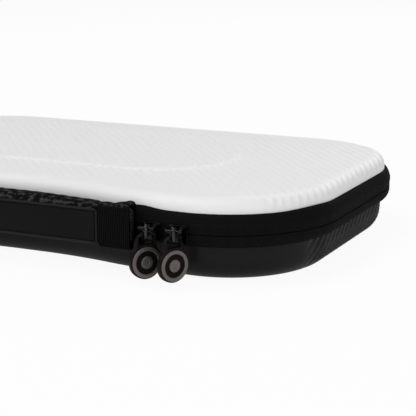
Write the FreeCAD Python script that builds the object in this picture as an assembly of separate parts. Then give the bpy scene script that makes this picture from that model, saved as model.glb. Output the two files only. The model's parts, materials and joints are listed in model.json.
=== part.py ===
import FreeCAD, Part
import math
import os

# Zipped hard case for a stethoscope: two moulded shells, a zip all round, a fabric
# hinge at the back and a carry handle at the front.
# Lengths are in millimetres. X runs along the case, the front with the handle faces -Y,
# +Z is up, and the origin is the centre of the flat face that the case rests on.

# Plan of the case, taken at the edge where the lid meets the zip tape
half_length = 145.0
half_width = 85.5
corner_radius = 52.0
waist_depth = 7.0
waist_flat_half = 6.0
waist_end_gap = 9.0

# Heights above the rest face
seam_height = 23.3
tape_foot_drop = 6.4
lid_edge_lift = 9.15
lid_crown_height = 6.85

# Clearances
seat_gap = 0.05
run_gap = 0.3
seam_gap = 1.1
overrun = 2.0

# Moulded shells and their linings
base_inset = 1.4
base_wall = 3.4
base_floor = 3.0
base_bottom_radius = 11.0
lid_wall = 3.2
lid_flange_inset = 1.2
lid_edge_land = 0.3
lining_thickness = 0.7
binding_width = 5.0
panel_end_margin = 67.0
panel_side_margin = 45.5
panel_rise = 0.8

# Zip tape and coil
tape_thickness = 1.0
track_offset = 2.9
track_half_height = 2.6
track_drop = 2.0
tape_foot_inset = 0.7
tape_bulge = 3.15
coil_depth = 2.5
coil_height = 1.2
coil_seat_lower = 0.15
coil_seat_upper = 0.25
tape_bulge_shares = [(0.22, 1.0), (0.48, 0.88), (0.74, 0.68), (0.9, 0.46), (1.0, 0.16)]
tape_knee_shares = (0.5, 0.8)

# Fabric hinge and zip stops at the back
hinge_end_gap = 23.0
hinge_strip_thickness = 0.6
hinge_strip_rise = 5.2
hinge_strip_drop = 3.0
zip_stop_length = 3.0

# Foam cradle in two layers, and its elastic band
cradle_base_thickness = 2.0
recess_depth = 10.0
tubing_recess_end_margin = 33.0
tubing_recess_side_margin = 33.5
tubing_recess_radius = 30.0
chestpiece_end_margin = 59.0
chestpiece_radius = 25.0
chestpiece_wall = 17.0
tube_channel_width = 14.0
band_width = 25.0
band_end_length = 11.0
band_thickness = 1.4

# Net pocket in the lid
pocket_depth = 6.7
net_thickness = 0.6
pocket_mouth_margin = 35.5
pocket_binding_width = 6.0
pocket_binding_height = 2.0
pocket_tape_width = 1.2
pocket_tape_height = 1.4

# Carry handle
handle_drop = 8.3
handle_height = 19.8
handle_thickness = 4.4
handle_end_inset = 1.5
handle_corner = 1.6
sleeve_thickness = 0.75
handle_stand_off = 0.75
patch_end_gap = 1.0
patch_margin = 0.6
patch_top_margin = 2.4
patch_thickness = 1.1
patch_corner = 1.5
patch_border = 1.2
patch_border_rise = 0.4
anchor_width = 17.0
anchor_slider_gap = 3.9
webbing_thickness = 1.0
anchor_fold = 1.6
anchor_tail_gap = 0.25

# Zip sliders
slider_spacing = 13.6
slider_half_height = 4.0
slider_plate = 0.9
slider_corner = 1.2
boss_half_length = 3.2
boss_half_height = 1.6
neck_half_length = 2.6
neck_thickness = 0.5
inner_plate = 1.2
inner_plate_gap = 0.55
inner_plate_clearance = 0.2
inner_plate_half_length = 4.0
crown_reach = 6.75
crown_rise = 2.5
crown_radius = 0.8
crown_side_gap = 0.2

# Link ring and rubber pull
link_wire_radius = 0.75
link_half_width = 3.25
link_corner = 2.0
link_length = 5.7
link_turn_angle = 37.0
pull_tab_radius = 5.3
pull_tab_thickness = 2.6
pull_tab_foot_half = 6.0
pull_top_gap = 0.7
pull_disc_radius = 7.9
pull_disc_thickness = 3.2
pull_disc_drop = 11.3
slot_half_length = 3.2
slot_height = 3.3
pull_turn_left_angle = 56.0
pull_turn_right_angle = 63.0
badge_margin = 0.7
badge_thickness = 0.9
badge_recess = 0.5
badge_ring_width = 1.3
badge_ring_rise = 0.35
badge_centre_radius = 2.2

# Places worked out from the sizes above
corner_x = half_length - corner_radius
corner_y = half_width - corner_radius
waist_end = corner_x - waist_end_gap
waist_run = waist_end - waist_flat_half
waist_front = half_width - waist_depth
bend_radius = (waist_run ** 2 + waist_depth ** 2) / (4 * waist_depth)
bend_angle = math.degrees(2 * math.atan2(waist_depth, waist_run))
tape_foot_height = seam_height - tape_foot_drop
lid_edge_height = seam_height + lid_edge_lift
lid_top_height = lid_edge_height + lid_crown_height
lid_edge_radius = lid_crown_height - lid_edge_land
half_gap = seam_gap / 2
rim_drop = half_gap + coil_height + coil_seat_lower
lid_flange_lift = half_gap + coil_height + coil_seat_upper
base_rim_height = seam_height - rim_drop
lid_flange_height = seam_height + lid_flange_lift
base_inner = base_inset + base_wall
lid_inner = lid_flange_inset + lid_wall
lid_ceiling = lid_top_height - lid_wall
panel_half_length = half_length - panel_end_margin
panel_half_width = half_width - panel_side_margin
hinge_half_length = corner_x - hinge_end_gap
chestpiece_centre = half_length - chestpiece_end_margin
tubing_recess_start = -half_length + tubing_recess_end_margin
tubing_recess_end = chestpiece_centre - chestpiece_radius - chestpiece_wall
tubing_recess_half_width = half_width - tubing_recess_side_margin
band_place = (tubing_recess_start + tubing_recess_end) / 2
band_half_length = tubing_recess_half_width + band_end_length
pocket_height = lid_ceiling - pocket_depth
pocket_mouth = -half_width + pocket_mouth_margin
coil_outer = track_offset - tape_thickness - seat_gap
inner_plate_inset = coil_depth - coil_outer + inner_plate_gap
inner_plate_half_height = min(rim_drop, lid_flange_lift) - seat_gap - inner_plate_clearance
slider_stand_off = tape_bulge + run_gap
crown_offset = slider_stand_off + crown_reach
link_side_reach = link_half_width * math.sin(math.radians(link_turn_angle)) + link_wire_radius
crown_half_length = link_side_reach + crown_side_gap + crown_radius
slider_half_length = crown_half_length + crown_radius
pull_top_rise = link_length - link_wire_radius - seat_gap - 2 * crown_radius - pull_top_gap
badge_radius = pull_disc_radius - badge_margin
left_slider_place = corner_x - slider_spacing
anchor_end = left_slider_place - slider_half_length - anchor_slider_gap
anchor_start = anchor_end - anchor_width
patch_half_length = anchor_start - patch_end_gap
handle_half_length = anchor_end - handle_end_inset
handle_bottom_height = seam_height - handle_drop
handle_back = half_width + tape_bulge + handle_stand_off + webbing_thickness + seat_gap
handle_front = handle_back + handle_thickness


def vector(x, y, z=0):
    return FreeCAD.Vector(x, y, z)


def line(start, end, height):
    return Part.LineSegment(vector(*start, height), vector(*end, height)).toShape()


def arc(centre, radius, first_angle, last_angle, height):
    points = []
    for angle in (first_angle, (first_angle + last_angle) / 2, last_angle):
        turn = math.radians(angle)
        x = centre[0] + radius * math.cos(turn)
        y = centre[1] + radius * math.sin(turn)
        points.append(vector(x, y, height))
    return Part.Arc(*points).toShape()


def outline(offset, height):
    """Plan outline of the case, moved outwards by offset, as one closed wire."""
    front = -half_width - offset
    waist = -waist_front - offset
    side = half_length + offset
    inner_bend = bend_radius - offset
    outer_bend = bend_radius + offset
    corner = corner_radius + offset
    bend_out = -waist_front - bend_radius
    bend_in = -half_width + bend_radius
    edges = [
        line((-waist_flat_half, waist), (waist_flat_half, waist), height),
        arc((waist_flat_half, bend_out), inner_bend, 90, 90 - bend_angle, height),
        arc((waist_end, bend_in), outer_bend, 270 - bend_angle, 270, height),
        line((waist_end, front), (corner_x, front), height),
        arc((corner_x, -corner_y), corner, 270, 360, height),
        line((side, -corner_y), (side, corner_y), height),
        arc((corner_x, corner_y), corner, 0, 90, height),
        line((corner_x, -front), (-corner_x, -front), height),
        arc((-corner_x, corner_y), corner, 90, 180, height),
        line((-side, corner_y), (-side, -corner_y), height),
        arc((-corner_x, -corner_y), corner, 180, 270, height),
        line((-corner_x, front), (-waist_end, front), height),
        arc((-waist_end, bend_in), outer_bend, 270, 270 + bend_angle, height),
        arc((-waist_flat_half, bend_out), inner_bend, 90 + bend_angle, 90, height),
    ]
    return Part.Wire(edges)


def plate(offset, low, high):
    """Solid slab with the plan outline, between two heights."""
    return Part.Face(outline(offset, low)).extrude(vector(0, 0, high - low))


def edges_at(solid, height):
    """Edges of a solid that lie wholly at one height."""
    found = []
    for edge in solid.Edges:
        box = edge.BoundBox
        if abs(box.ZMin - height) < seat_gap and abs(box.ZMax - height) < seat_gap:
            found.append(edge)
    return found


def rounded_plate(offset, low, high, radius, height):
    """Slab with the plan outline whose edge at one height is rounded."""
    solid = plate(offset, low, high)
    return solid.makeFillet(radius, edges_at(solid, height))


def ring(profile):
    """Band round the case whose cross-section is given as offset and height pairs."""
    points = [vector(-waist_flat_half, -waist_front - offset, height) for offset, height in profile]
    face = Part.Face(Part.makePolygon(points + points[:1]))
    return outline(0, 0).makePipe(face)


def block(low, high):
    """Box between two opposite corners."""
    size = [high[axis] - low[axis] for axis in range(3)]
    return Part.makeBox(*size, vector(*low))


def rounded_block(low, high, radius, direction):
    """Box whose edges along one direction are rounded."""
    solid = block(low, high)
    chosen = []
    for edge in solid.Edges:
        tangent = edge.tangentAt(edge.FirstParameter)
        if abs(tangent.dot(direction)) > abs(tangent.cross(direction).Length):
            chosen.append(edge)
    return solid.makeFillet(radius, chosen)


def keep_back_open(solid, half_span):
    """Take the hinge stretch at the back out of a band round the case."""
    low = (-half_span, 0, 0)
    high = (half_span, half_width + half_length, lid_top_height)
    return solid.cut(block(low, high))


def mirrored(solid):
    return solid.mirror(vector(0, 0), vector(1, 0))


def save(name, shape):
    """Write one sub-part and report its solids and volume."""
    if not shape.isValid():
        raise ValueError(name + " is not a valid solid")
    shape.exportStep(os.path.join("parts", name + ".step"))
    print(name, len(shape.Solids), "solid(s),", round(shape.Volume), "mm3")


# Zip tape cross-sections

def lower_tape_face(shift):
    """Outer line of the lower tape, from its foot to the seam, moved out by shift."""
    track_low = seam_height - track_drop
    height_share, offset_share = tape_knee_shares
    knee_offset = -tape_foot_inset + (track_offset + tape_foot_inset) * offset_share
    knee_height = tape_foot_height + (track_low - tape_foot_height) * height_share
    return [
        (-tape_foot_inset + shift, tape_foot_height),
        (knee_offset + shift, knee_height),
        (track_offset + shift, track_low),
        (track_offset + shift, seam_height - half_gap),
    ]


def upper_tape_face(shift):
    """Outer line of the upper tape, from the seam to the lid's edge, moved out by shift."""
    track_high = seam_height + track_half_height
    rise = lid_edge_height - seat_gap - track_high
    points = [(track_offset + shift, seam_height + half_gap), (track_offset + shift, track_high)]
    for height_share, offset_share in tape_bulge_shares:
        points.append((tape_bulge * offset_share + shift, track_high + rise * height_share))
    return points


# Base: shell, lining, cradle and rim

def base_shell():
    outer = rounded_plate(-base_inset, 0, base_rim_height, base_bottom_radius, 0)
    inner_radius = base_bottom_radius - base_floor
    inner = rounded_plate(-base_inner, base_floor, base_rim_height + overrun, inner_radius, base_floor)
    return outer.cut(inner)


def base_lining():
    low = base_floor + seat_gap
    high = base_rim_height - binding_width - seat_gap
    outer_radius = base_bottom_radius - base_floor
    outer = rounded_plate(-base_inner - seat_gap, low, high, outer_radius, low)
    floor = low + lining_thickness
    inner_offset = -base_inner - seat_gap - lining_thickness
    inner = rounded_plate(inner_offset, floor, high + overrun, outer_radius - lining_thickness, floor)
    return outer.cut(inner)


def rim_binding_lower():
    outer = -base_inner - seat_gap
    inner = outer - lining_thickness
    low = base_rim_height - binding_width
    return ring([(outer, low), (inner, low), (inner, base_rim_height), (outer, base_rim_height)])


def cradle_layer(low, high):
    """Layer of the foam that fills the lined base, between two heights."""
    bottom = base_floor + lining_thickness + 2 * seat_gap
    offset = -base_inner - lining_thickness - 2 * seat_gap
    body = rounded_plate(offset, bottom, seam_height, base_bottom_radius - base_floor, bottom)
    return cut_heights(body, low, high)


def recess_floor():
    return base_floor + lining_thickness + cradle_base_thickness + 3 * seat_gap


def cradle_base():
    high = recess_floor() - seat_gap
    return cradle_layer(high - cradle_base_thickness, high)


def cradle_insert():
    """Upper foam layer, cut through for the tubing, the chestpiece and the tube between."""
    low = recess_floor()
    cut_low = low - overrun
    cut_high = low + recess_depth + overrun
    tubing = rounded_block(
        (tubing_recess_start, -tubing_recess_half_width, cut_low),
        (tubing_recess_end, tubing_recess_half_width, cut_high),
        tubing_recess_radius,
        vector(0, 0, 1),
    )
    pocket_place = vector(chestpiece_centre, 0, cut_low)
    pocket = Part.makeCylinder(chestpiece_radius, cut_high - cut_low, pocket_place)
    channel = block(
        (band_place, -tube_channel_width / 2, cut_low),
        (chestpiece_centre, tube_channel_width / 2, cut_high),
    )
    return cradle_layer(low, low + recess_depth).cut(tubing).cut(pocket).cut(channel)


def retaining_band():
    low = recess_floor() + recess_depth + seat_gap
    half_wide = band_width / 2
    return rounded_block(
        (band_place - half_wide, -band_half_length, low),
        (band_place + half_wide, band_half_length, low + band_thickness),
        band_thickness,
        vector(0, 0, 1),
    )


def zip_tape_lower():
    inner_track = track_offset - tape_thickness
    shelf = base_rim_height + seat_gap
    wall = -base_inset + seat_gap
    inside = [(inner_track, seam_height - half_gap), (inner_track, shelf), (wall, shelf), (wall, tape_foot_height)]
    return ring(lower_tape_face(0) + inside)


def coil(low):
    """Zip coil behind the tape, left out along the hinge."""
    inner = coil_outer - coil_depth
    high = low + coil_height
    solid = ring([(coil_outer, low), (inner, low), (inner, high), (coil_outer, high)])
    return keep_back_open(solid, hinge_half_length + zip_stop_length + seat_gap)


def zip_coil_lower():
    return coil(seam_height - half_gap - coil_height)


def zip_stop():
    """Stop that closes the right-hand end of the lower coil."""
    outer = half_width + coil_outer
    high = seam_height - half_gap
    return block(
        (hinge_half_length, outer - coil_depth, high - coil_height),
        (hinge_half_length + zip_stop_length, outer, high),
    )


def hinge_strip(inner_line, outer_line):
    """Straight strip of hinge fabric along the back, between two lines of its section."""
    section = inner_line + outer_line[::-1]
    points = [vector(-hinge_half_length, half_width + offset, height) for offset, height in section]
    face = Part.Face(Part.makePolygon(points + points[:1]))
    return face.extrude(vector(2 * hinge_half_length, 0))


def cut_heights(solid, low, high):
    """Keep what lies between two heights."""
    span = half_length + half_width
    return solid.common(block((-span, -span, low), (span, span, high)))


def hinge_strip_lower():
    inner = lower_tape_face(seat_gap)
    outer = lower_tape_face(seat_gap + hinge_strip_thickness)
    return cut_heights(hinge_strip(inner, outer), seam_height - hinge_strip_drop, seam_height)


def hinge_strip_upper():
    inner = upper_tape_face(seat_gap)
    outer = upper_tape_face(seat_gap + hinge_strip_thickness)
    return cut_heights(hinge_strip(inner, outer), seam_height, seam_height + hinge_strip_rise)


# Lid: shell, lining, zip tape and net pocket

def lid_shell():
    crown = rounded_plate(0, lid_edge_height, lid_top_height, lid_edge_radius, lid_top_height)
    flange = plate(-lid_flange_inset, lid_flange_height, lid_edge_height + lid_edge_radius / 2)
    inner_radius = lid_edge_radius - lid_wall
    hollow_low = lid_flange_height - overrun
    hollow = rounded_plate(-lid_inner, hollow_low, lid_ceiling, inner_radius, lid_ceiling)
    panel = rounded_block(
        (-panel_half_length, -panel_half_width, lid_top_height - panel_rise),
        (panel_half_length, panel_half_width, lid_top_height + panel_rise),
        panel_half_width - panel_rise,
        vector(0, 0, 1),
    )
    panel = panel.makeChamfer(panel_rise / 2, edges_at(panel, lid_top_height + panel_rise))
    return crown.fuse(flange).fuse(panel).cut(hollow)


def lid_lining():
    low = lid_flange_height + binding_width + seat_gap
    outer_radius = lid_edge_radius - lid_wall
    high = lid_ceiling - seat_gap
    outer = rounded_plate(-lid_inner - seat_gap, low, high, outer_radius, high)
    ceiling = high - lining_thickness
    inner_offset = -lid_inner - seat_gap - lining_thickness
    inner = rounded_plate(inner_offset, low - overrun, ceiling, outer_radius - lining_thickness, ceiling)
    return outer.cut(inner)


def rim_binding_upper():
    outer = -lid_inner - seat_gap
    inner = outer - lining_thickness
    high = lid_flange_height + binding_width
    return ring([(outer, lid_flange_height), (inner, lid_flange_height), (inner, high), (outer, high)])


def zip_tape_upper():
    inner_track = track_offset - tape_thickness
    shelf = lid_flange_height - seat_gap
    wall = -lid_flange_inset + seat_gap
    top = lid_edge_height - seat_gap
    inside = [(wall, top), (wall, shelf), (inner_track, shelf), (inner_track, seam_height + half_gap)]
    return ring(upper_tape_face(0) + inside)


def zip_coil_upper():
    return coil(seam_height + half_gap)


def pocket_inset():
    return -lid_inner - 2 * seat_gap - lining_thickness


def behind_mouth(solid, place):
    """Keep the part of the pocket that lies behind its mouth."""
    span = half_length + half_width
    return solid.common(block((-span, place, 0), (span, span, lid_top_height)))


def pocket_edge_tape():
    outer = pocket_inset()
    inner = outer - pocket_tape_width
    high = pocket_height + pocket_tape_height
    solid = ring([(outer, pocket_height), (inner, pocket_height), (inner, high), (outer, high)])
    return behind_mouth(solid, pocket_mouth)


def pocket_net():
    offset = pocket_inset() - pocket_tape_width - seat_gap
    solid = plate(offset, pocket_height, pocket_height + net_thickness)
    return behind_mouth(solid, pocket_mouth)


def pocket_binding():
    """Elastic edge along the mouth of the net pocket."""
    offset = pocket_inset() - pocket_tape_width - seat_gap
    low = pocket_height + net_thickness / 2 - pocket_binding_height / 2
    solid = plate(offset, low, low + pocket_binding_height)
    front = pocket_mouth - pocket_binding_width - seat_gap
    span = half_length
    return solid.common(block((-span, front, 0), (span, pocket_mouth - seat_gap, lid_top_height)))


# Carry handle

def handle_section(inset):
    """Bar along the handle whose section is drawn in by inset."""
    return rounded_block(
        (-handle_half_length, -handle_front + inset, handle_bottom_height + inset),
        (handle_half_length, -handle_back - inset, handle_bottom_height + handle_height - inset),
        handle_corner - inset,
        vector(1, 0, 0),
    )


def handle_sleeve():
    return handle_section(0).cut(handle_section(sleeve_thickness))


def handle_core():
    return handle_section(sleeve_thickness + seat_gap)


def grip_patch():
    """Bare grip plate with a raised border."""
    back = -handle_front - seat_gap
    front = back - patch_thickness
    low = handle_bottom_height + patch_margin
    high = handle_bottom_height + handle_height - patch_top_margin
    body = rounded_block(
        (-patch_half_length, front, low),
        (patch_half_length, back, high),
        patch_corner,
        vector(0, 1, 0),
    )
    field = rounded_block(
        (-patch_half_length + patch_border, front - overrun, low + patch_border),
        (patch_half_length - patch_border, front + patch_border_rise, high - patch_border),
        patch_corner - patch_border / 2,
        vector(0, 1, 0),
    )
    return body.cut(field)


def anchor_loop():
    """Webbing loop round the handle's right end, with its tail sewn to the base wall."""
    inner_low = handle_bottom_height - seat_gap
    inner_high = handle_bottom_height + handle_height + seat_gap
    loop_back = handle_back - seat_gap
    loop_front = handle_front + seat_gap
    outer = rounded_block(
        (anchor_start, -loop_front - webbing_thickness, inner_low - webbing_thickness),
        (anchor_end, -loop_back + webbing_thickness, inner_high + anchor_fold),
        handle_corner + webbing_thickness / 2,
        vector(1, 0, 0),
    )
    opening = rounded_block(
        (anchor_start - overrun, -loop_front, inner_low),
        (anchor_end + overrun, -loop_back, inner_high),
        handle_corner,
        vector(1, 0, 0),
    )
    tail_low = inner_low - webbing_thickness
    tail_start = -loop_back + webbing_thickness / 2
    reach = (anchor_start, tail_start - handle_corner, tail_low)
    tail = block(reach, (anchor_end, -corner_y, tail_low + webbing_thickness))
    flap_gap = -base_inset + seat_gap
    flap = plate(flap_gap + webbing_thickness, tail_low, tape_foot_height - anchor_tail_gap)
    span = block((anchor_start, -half_width - tape_bulge, 0), (anchor_end, 0, lid_top_height))
    solid = outer.cut(opening).fuse(tail).fuse(flap.common(span)).cut(plate(flap_gap, 0, lid_edge_height))
    return solid.removeSplitter()


# Zip sliders, links and pulls, drawn at the origin of the track and then placed

def slider_block(half_long, inner, outer, half_high, radius):
    """Part of a slider between two distances out from the wall, at seam height."""
    return rounded_block(
        (-half_long, -outer, seam_height - half_high),
        (half_long, -inner, seam_height + half_high),
        radius,
        vector(0, 1, 0),
    )


def slider():
    face = slider_stand_off + slider_plate
    inner_face = track_offset + run_gap
    plate_solid = slider_block(slider_half_length, slider_stand_off, face, slider_half_height, slider_corner)
    boss = slider_block(boss_half_length, inner_face, face, boss_half_height, slider_corner)
    neck = block(
        (-neck_half_length, -inner_face - slider_plate, seam_height - neck_thickness / 2),
        (neck_half_length, inner_plate_inset, seam_height + neck_thickness / 2),
    )
    back = slider_block(
        inner_plate_half_length,
        -inner_plate_inset - inner_plate,
        -inner_plate_inset,
        inner_plate_half_height,
        slider_corner,
    )
    solid = plate_solid.fuse([boss, neck, back])
    bar_height = seam_height + crown_rise
    for side in (-1, 1):
        foot = vector(side * crown_half_length, -slider_stand_off, bar_height)
        length = crown_offset - slider_stand_off
        post = Part.makeCylinder(crown_radius, length, foot, vector(0, -1, 0))
        knuckle = Part.makeSphere(crown_radius, vector(side * crown_half_length, -crown_offset, bar_height))
        solid = solid.fuse([post, knuckle])
    bar_start = vector(-crown_half_length, -crown_offset, bar_height)
    bar = Part.makeCylinder(crown_radius, 2 * crown_half_length, bar_start, vector(1, 0))
    return solid.fuse(bar).removeSplitter()


def link_bottom_height():
    top = seam_height + crown_rise + crown_radius + seat_gap + link_wire_radius
    return top - link_length


def link():
    """Closed wire ring that hangs on the slider's crown."""
    low = link_bottom_height()
    high = low + link_length
    wide = link_half_width
    small = link_corner
    path = []
    corners = [(wide, low, 270), (wide, high, 0), (-wide, high, 90), (-wide, low, 180)]
    centres = []
    for x, z, first_angle in corners:
        centre_x = math.copysign(abs(x) - small, x)
        centre_z = z + small if z == low else z - small
        centres.append((centre_x, centre_z, first_angle))
    for index, (centre_x, centre_z, first_angle) in enumerate(centres):
        points = []
        for step in (0, 1, 2):
            turn = math.radians(first_angle + 45 * step)
            points.append(vector(centre_x + small * math.cos(turn), 0, centre_z + small * math.sin(turn)))
        path.append(Part.Arc(*points).toShape())
        next_x, next_z, next_angle = centres[(index + 1) % len(centres)]
        turn = math.radians(next_angle)
        start = vector(next_x + small * math.cos(turn), 0, next_z + small * math.sin(turn))
        path.append(Part.LineSegment(points[-1], start).toShape())
    spine = Part.Wire(path)
    begin = spine.Edges[0].valueAt(spine.Edges[0].FirstParameter)
    direction = spine.Edges[0].tangentAt(spine.Edges[0].FirstParameter)
    circle = Part.Wire(Part.Circle(begin, direction, link_wire_radius).toShape())
    ring_solid = spine.makePipe(Part.Face(circle))
    ring_solid.translate(vector(0, -crown_offset))
    return ring_solid


def disc(radius, inner, outer, height):
    """Round slab square to Y, between two distances out from its middle plane."""
    return Part.makeCylinder(radius, outer - inner, vector(0, -inner, height), vector(0, -1, 0))


def pull():
    """Moulded rubber pull: a slotted tab above a round disc with a seat for its badge."""
    wire_height = link_bottom_height()
    half_tab = pull_tab_thickness / 2
    half_disc = pull_disc_thickness / 2
    top = wire_height + pull_top_rise
    tab_height = top - pull_tab_radius
    disc_height = wire_height - pull_disc_drop
    tab = disc(pull_tab_radius, -half_tab, half_tab, tab_height)
    foot_height = disc_height + pull_disc_radius * math.cos(math.asin(pull_tab_foot_half / pull_disc_radius))
    shoulder = [
        vector(-pull_tab_radius, -half_tab, tab_height),
        vector(pull_tab_radius, -half_tab, tab_height),
        vector(pull_tab_foot_half, -half_tab, foot_height),
        vector(-pull_tab_foot_half, -half_tab, foot_height),
    ]
    sides = Part.Face(Part.makePolygon(shoulder + shoulder[:1])).extrude(vector(0, pull_tab_thickness))
    body = disc(pull_disc_radius, -half_disc, half_disc, disc_height)
    solid = body.fuse([tab, sides])
    slot_radius = slot_height / 2
    slot_top = wire_height + link_wire_radius + seat_gap
    slot_shift = slot_half_length - slot_radius
    slot_low = (-slot_half_length, -half_disc, slot_top - slot_height)
    slot_high = (slot_half_length, half_disc, slot_top)
    slot = rounded_block(slot_low, slot_high, min(slot_radius, slot_shift) - seat_gap, vector(0, 1, 0))
    seat = disc(badge_radius + seat_gap, half_disc - badge_recess, half_disc + overrun, disc_height)
    solid = solid.cut(slot).cut(seat).removeSplitter()
    solid.translate(vector(0, -crown_offset))
    return solid


def badge():
    """Plain round badge with a raised ring and a raised centre."""
    height = link_bottom_height() - pull_disc_drop
    back = pull_disc_thickness / 2 - badge_recess + seat_gap
    front = back + badge_thickness
    solid = disc(badge_radius, back, front - badge_ring_rise, height)
    rim = disc(badge_radius, back, front, height).cut(
        disc(badge_radius - badge_ring_width, back - overrun, front + overrun, height)
    )
    centre = disc(badge_centre_radius, back, front, height)
    solid = solid.fuse([rim, centre]).removeSplitter()
    solid.translate(vector(0, -crown_offset))
    return solid


def placed(shape, turn_angle, place, track_angle):
    """Turn a piece about its crown's upright, then set it on the track at one place."""
    result = shape.copy()
    result.rotate(vector(0, -crown_offset), vector(0, 0, 1), turn_angle)
    result.rotate(vector(0, 0), vector(0, 0, 1), track_angle)
    result.translate(place)
    return result


def track_place(x):
    """Point of the front wall at x, and the wall's direction there, right of the waist."""
    reach = max(waist_end - x, 0)
    turn = math.asin(reach / bend_radius)
    y = -half_width + bend_radius * (1 - math.cos(turn))
    return vector(x, y), -math.degrees(turn)


os.makedirs("parts", exist_ok=True)

save("base_shell", base_shell())
save("base_lining", base_lining())
save("rim_binding_lower", rim_binding_lower())
save("cradle_base", cradle_base())
save("cradle_insert", cradle_insert())
save("retaining_band", retaining_band())
save("zip_tape_lower", zip_tape_lower())
save("zip_coil_lower", zip_coil_lower())
save("zip_stop_right", zip_stop())
save("zip_stop_left", mirrored(zip_stop()))
save("hinge_strip_lower", hinge_strip_lower())
save("handle_sleeve", handle_sleeve())
save("handle_core", handle_core())
save("grip_patch", grip_patch())
save("anchor_loop_right", anchor_loop())
save("anchor_loop_left", mirrored(anchor_loop()))

save("lid_shell", lid_shell())
save("lid_lining", lid_lining())
save("rim_binding_upper", rim_binding_upper())
save("zip_tape_upper", zip_tape_upper())
save("zip_coil_upper", zip_coil_upper())
save("hinge_strip_upper", hinge_strip_upper())
save("pocket_net", pocket_net())
save("pocket_binding", pocket_binding())
save("pocket_edge_tape", pocket_edge_tape())

pull_turns = {"right": (corner_x, pull_turn_right_angle), "left": (left_slider_place, pull_turn_left_angle)}
for side_name, (slider_x, pull_turn) in pull_turns.items():
    spot, wall_angle = track_place(slider_x)
    save("slider_" + side_name, placed(slider(), 0, spot, wall_angle))
    save("link_" + side_name, placed(link(), link_turn_angle - 90, spot, wall_angle))
    save("pull_" + side_name, placed(pull(), pull_turn, spot, wall_angle))
    save("badge_" + side_name, placed(badge(), pull_turn, spot, wall_angle))
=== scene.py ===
"""Dressed model of a zipped hard case for a stethoscope.

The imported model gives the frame: every piece here stands where its node stands and rides on
the same body. Lengths in the classes are in millimetres, and the meshes are in metres.
"""

from __future__ import annotations

import json
import logging
import math
from dataclasses import dataclass, field
from enum import Enum
from typing import Any, Callable, Sequence

import bpy
from mathutils import Matrix, Vector
from mathutils.kdtree import KDTree

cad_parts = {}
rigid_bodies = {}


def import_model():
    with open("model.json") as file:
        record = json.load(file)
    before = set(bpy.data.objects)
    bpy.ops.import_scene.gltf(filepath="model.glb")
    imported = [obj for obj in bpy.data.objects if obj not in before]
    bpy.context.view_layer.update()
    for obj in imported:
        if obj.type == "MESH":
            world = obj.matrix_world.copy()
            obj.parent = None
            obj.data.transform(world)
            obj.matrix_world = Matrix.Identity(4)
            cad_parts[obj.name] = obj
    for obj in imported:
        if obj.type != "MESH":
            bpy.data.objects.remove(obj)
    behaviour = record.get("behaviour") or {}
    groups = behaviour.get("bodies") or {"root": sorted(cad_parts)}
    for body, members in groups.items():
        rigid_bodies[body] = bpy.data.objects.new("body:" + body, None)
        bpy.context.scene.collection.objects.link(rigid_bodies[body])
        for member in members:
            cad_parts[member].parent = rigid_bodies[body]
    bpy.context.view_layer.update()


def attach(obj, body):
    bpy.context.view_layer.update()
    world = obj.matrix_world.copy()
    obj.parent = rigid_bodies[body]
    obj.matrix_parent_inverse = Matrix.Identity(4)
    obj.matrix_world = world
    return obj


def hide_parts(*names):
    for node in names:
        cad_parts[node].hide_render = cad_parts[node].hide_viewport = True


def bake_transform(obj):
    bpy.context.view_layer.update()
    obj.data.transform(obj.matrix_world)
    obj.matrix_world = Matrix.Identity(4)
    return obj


log = logging.getLogger("stethoscope_case")

MM = 0.001
MERGE = 2e-6
STAND = Matrix(((1, 0, 0, 0), (0, 0, -1, 0), (0, 1, 0, 0), (0, 0, 0, 1)))
Piece = bpy.types.Object
Material = bpy.types.Material
Socket = bpy.types.NodeSocket
Point = tuple[float, float]
Spot = tuple[float, float, float]
Colour = tuple[float, float, float]
Placer = Callable[[int, int], Spot]
Flat = Callable[[int, int], Point]
Relief = Callable[[float, Point], Point]


class Body(str, Enum):
    """Bodies of the case that pieces ride on."""

    BASE = "base"
    LID = "lid"
    SLIDER_RIGHT = "slider_right"
    SLIDER_LEFT = "slider_left"
    LINK_RIGHT = "link_right"
    LINK_LEFT = "link_left"
    PULL_RIGHT = "pull_right"
    PULL_LEFT = "pull_left"


class Side(str, Enum):
    """Sides of the case as its user sees them from the front."""

    RIGHT = "right"
    LEFT = "left"


# Lines in plan


@dataclass(frozen=True)
class Station:
    """Place on a line in plan, with the direction that faces out there."""

    x: float
    y: float
    out_x: float
    out_y: float

    def moved(self, offset: float) -> Point:
        """Point that lies outwards by an offset."""
        return self.x + self.out_x * offset, self.y + self.out_y * offset


@dataclass(frozen=True)
class Straight:
    """Straight run between two points."""

    start: Point
    end: Point

    @property
    def length(self) -> float:
        """Length of the run."""
        return math.dist(self.start, self.end)

    def at(self, share: float) -> Station:
        """Station at a share of the run."""
        run_x, run_y = self.end[0] - self.start[0], self.end[1] - self.start[1]
        x, y = self.start[0] + run_x * share, self.start[1] + run_y * share
        return Station(x, y, run_y / self.length, -run_x / self.length)

    def mirrored(self, flip_x: float, flip_y: float) -> Straight:
        """Matching run on the other side, with one of the two signs negative."""
        ends = [(x * flip_x, y * flip_y) for x, y in (self.end, self.start)]
        return Straight(*ends)


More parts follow.
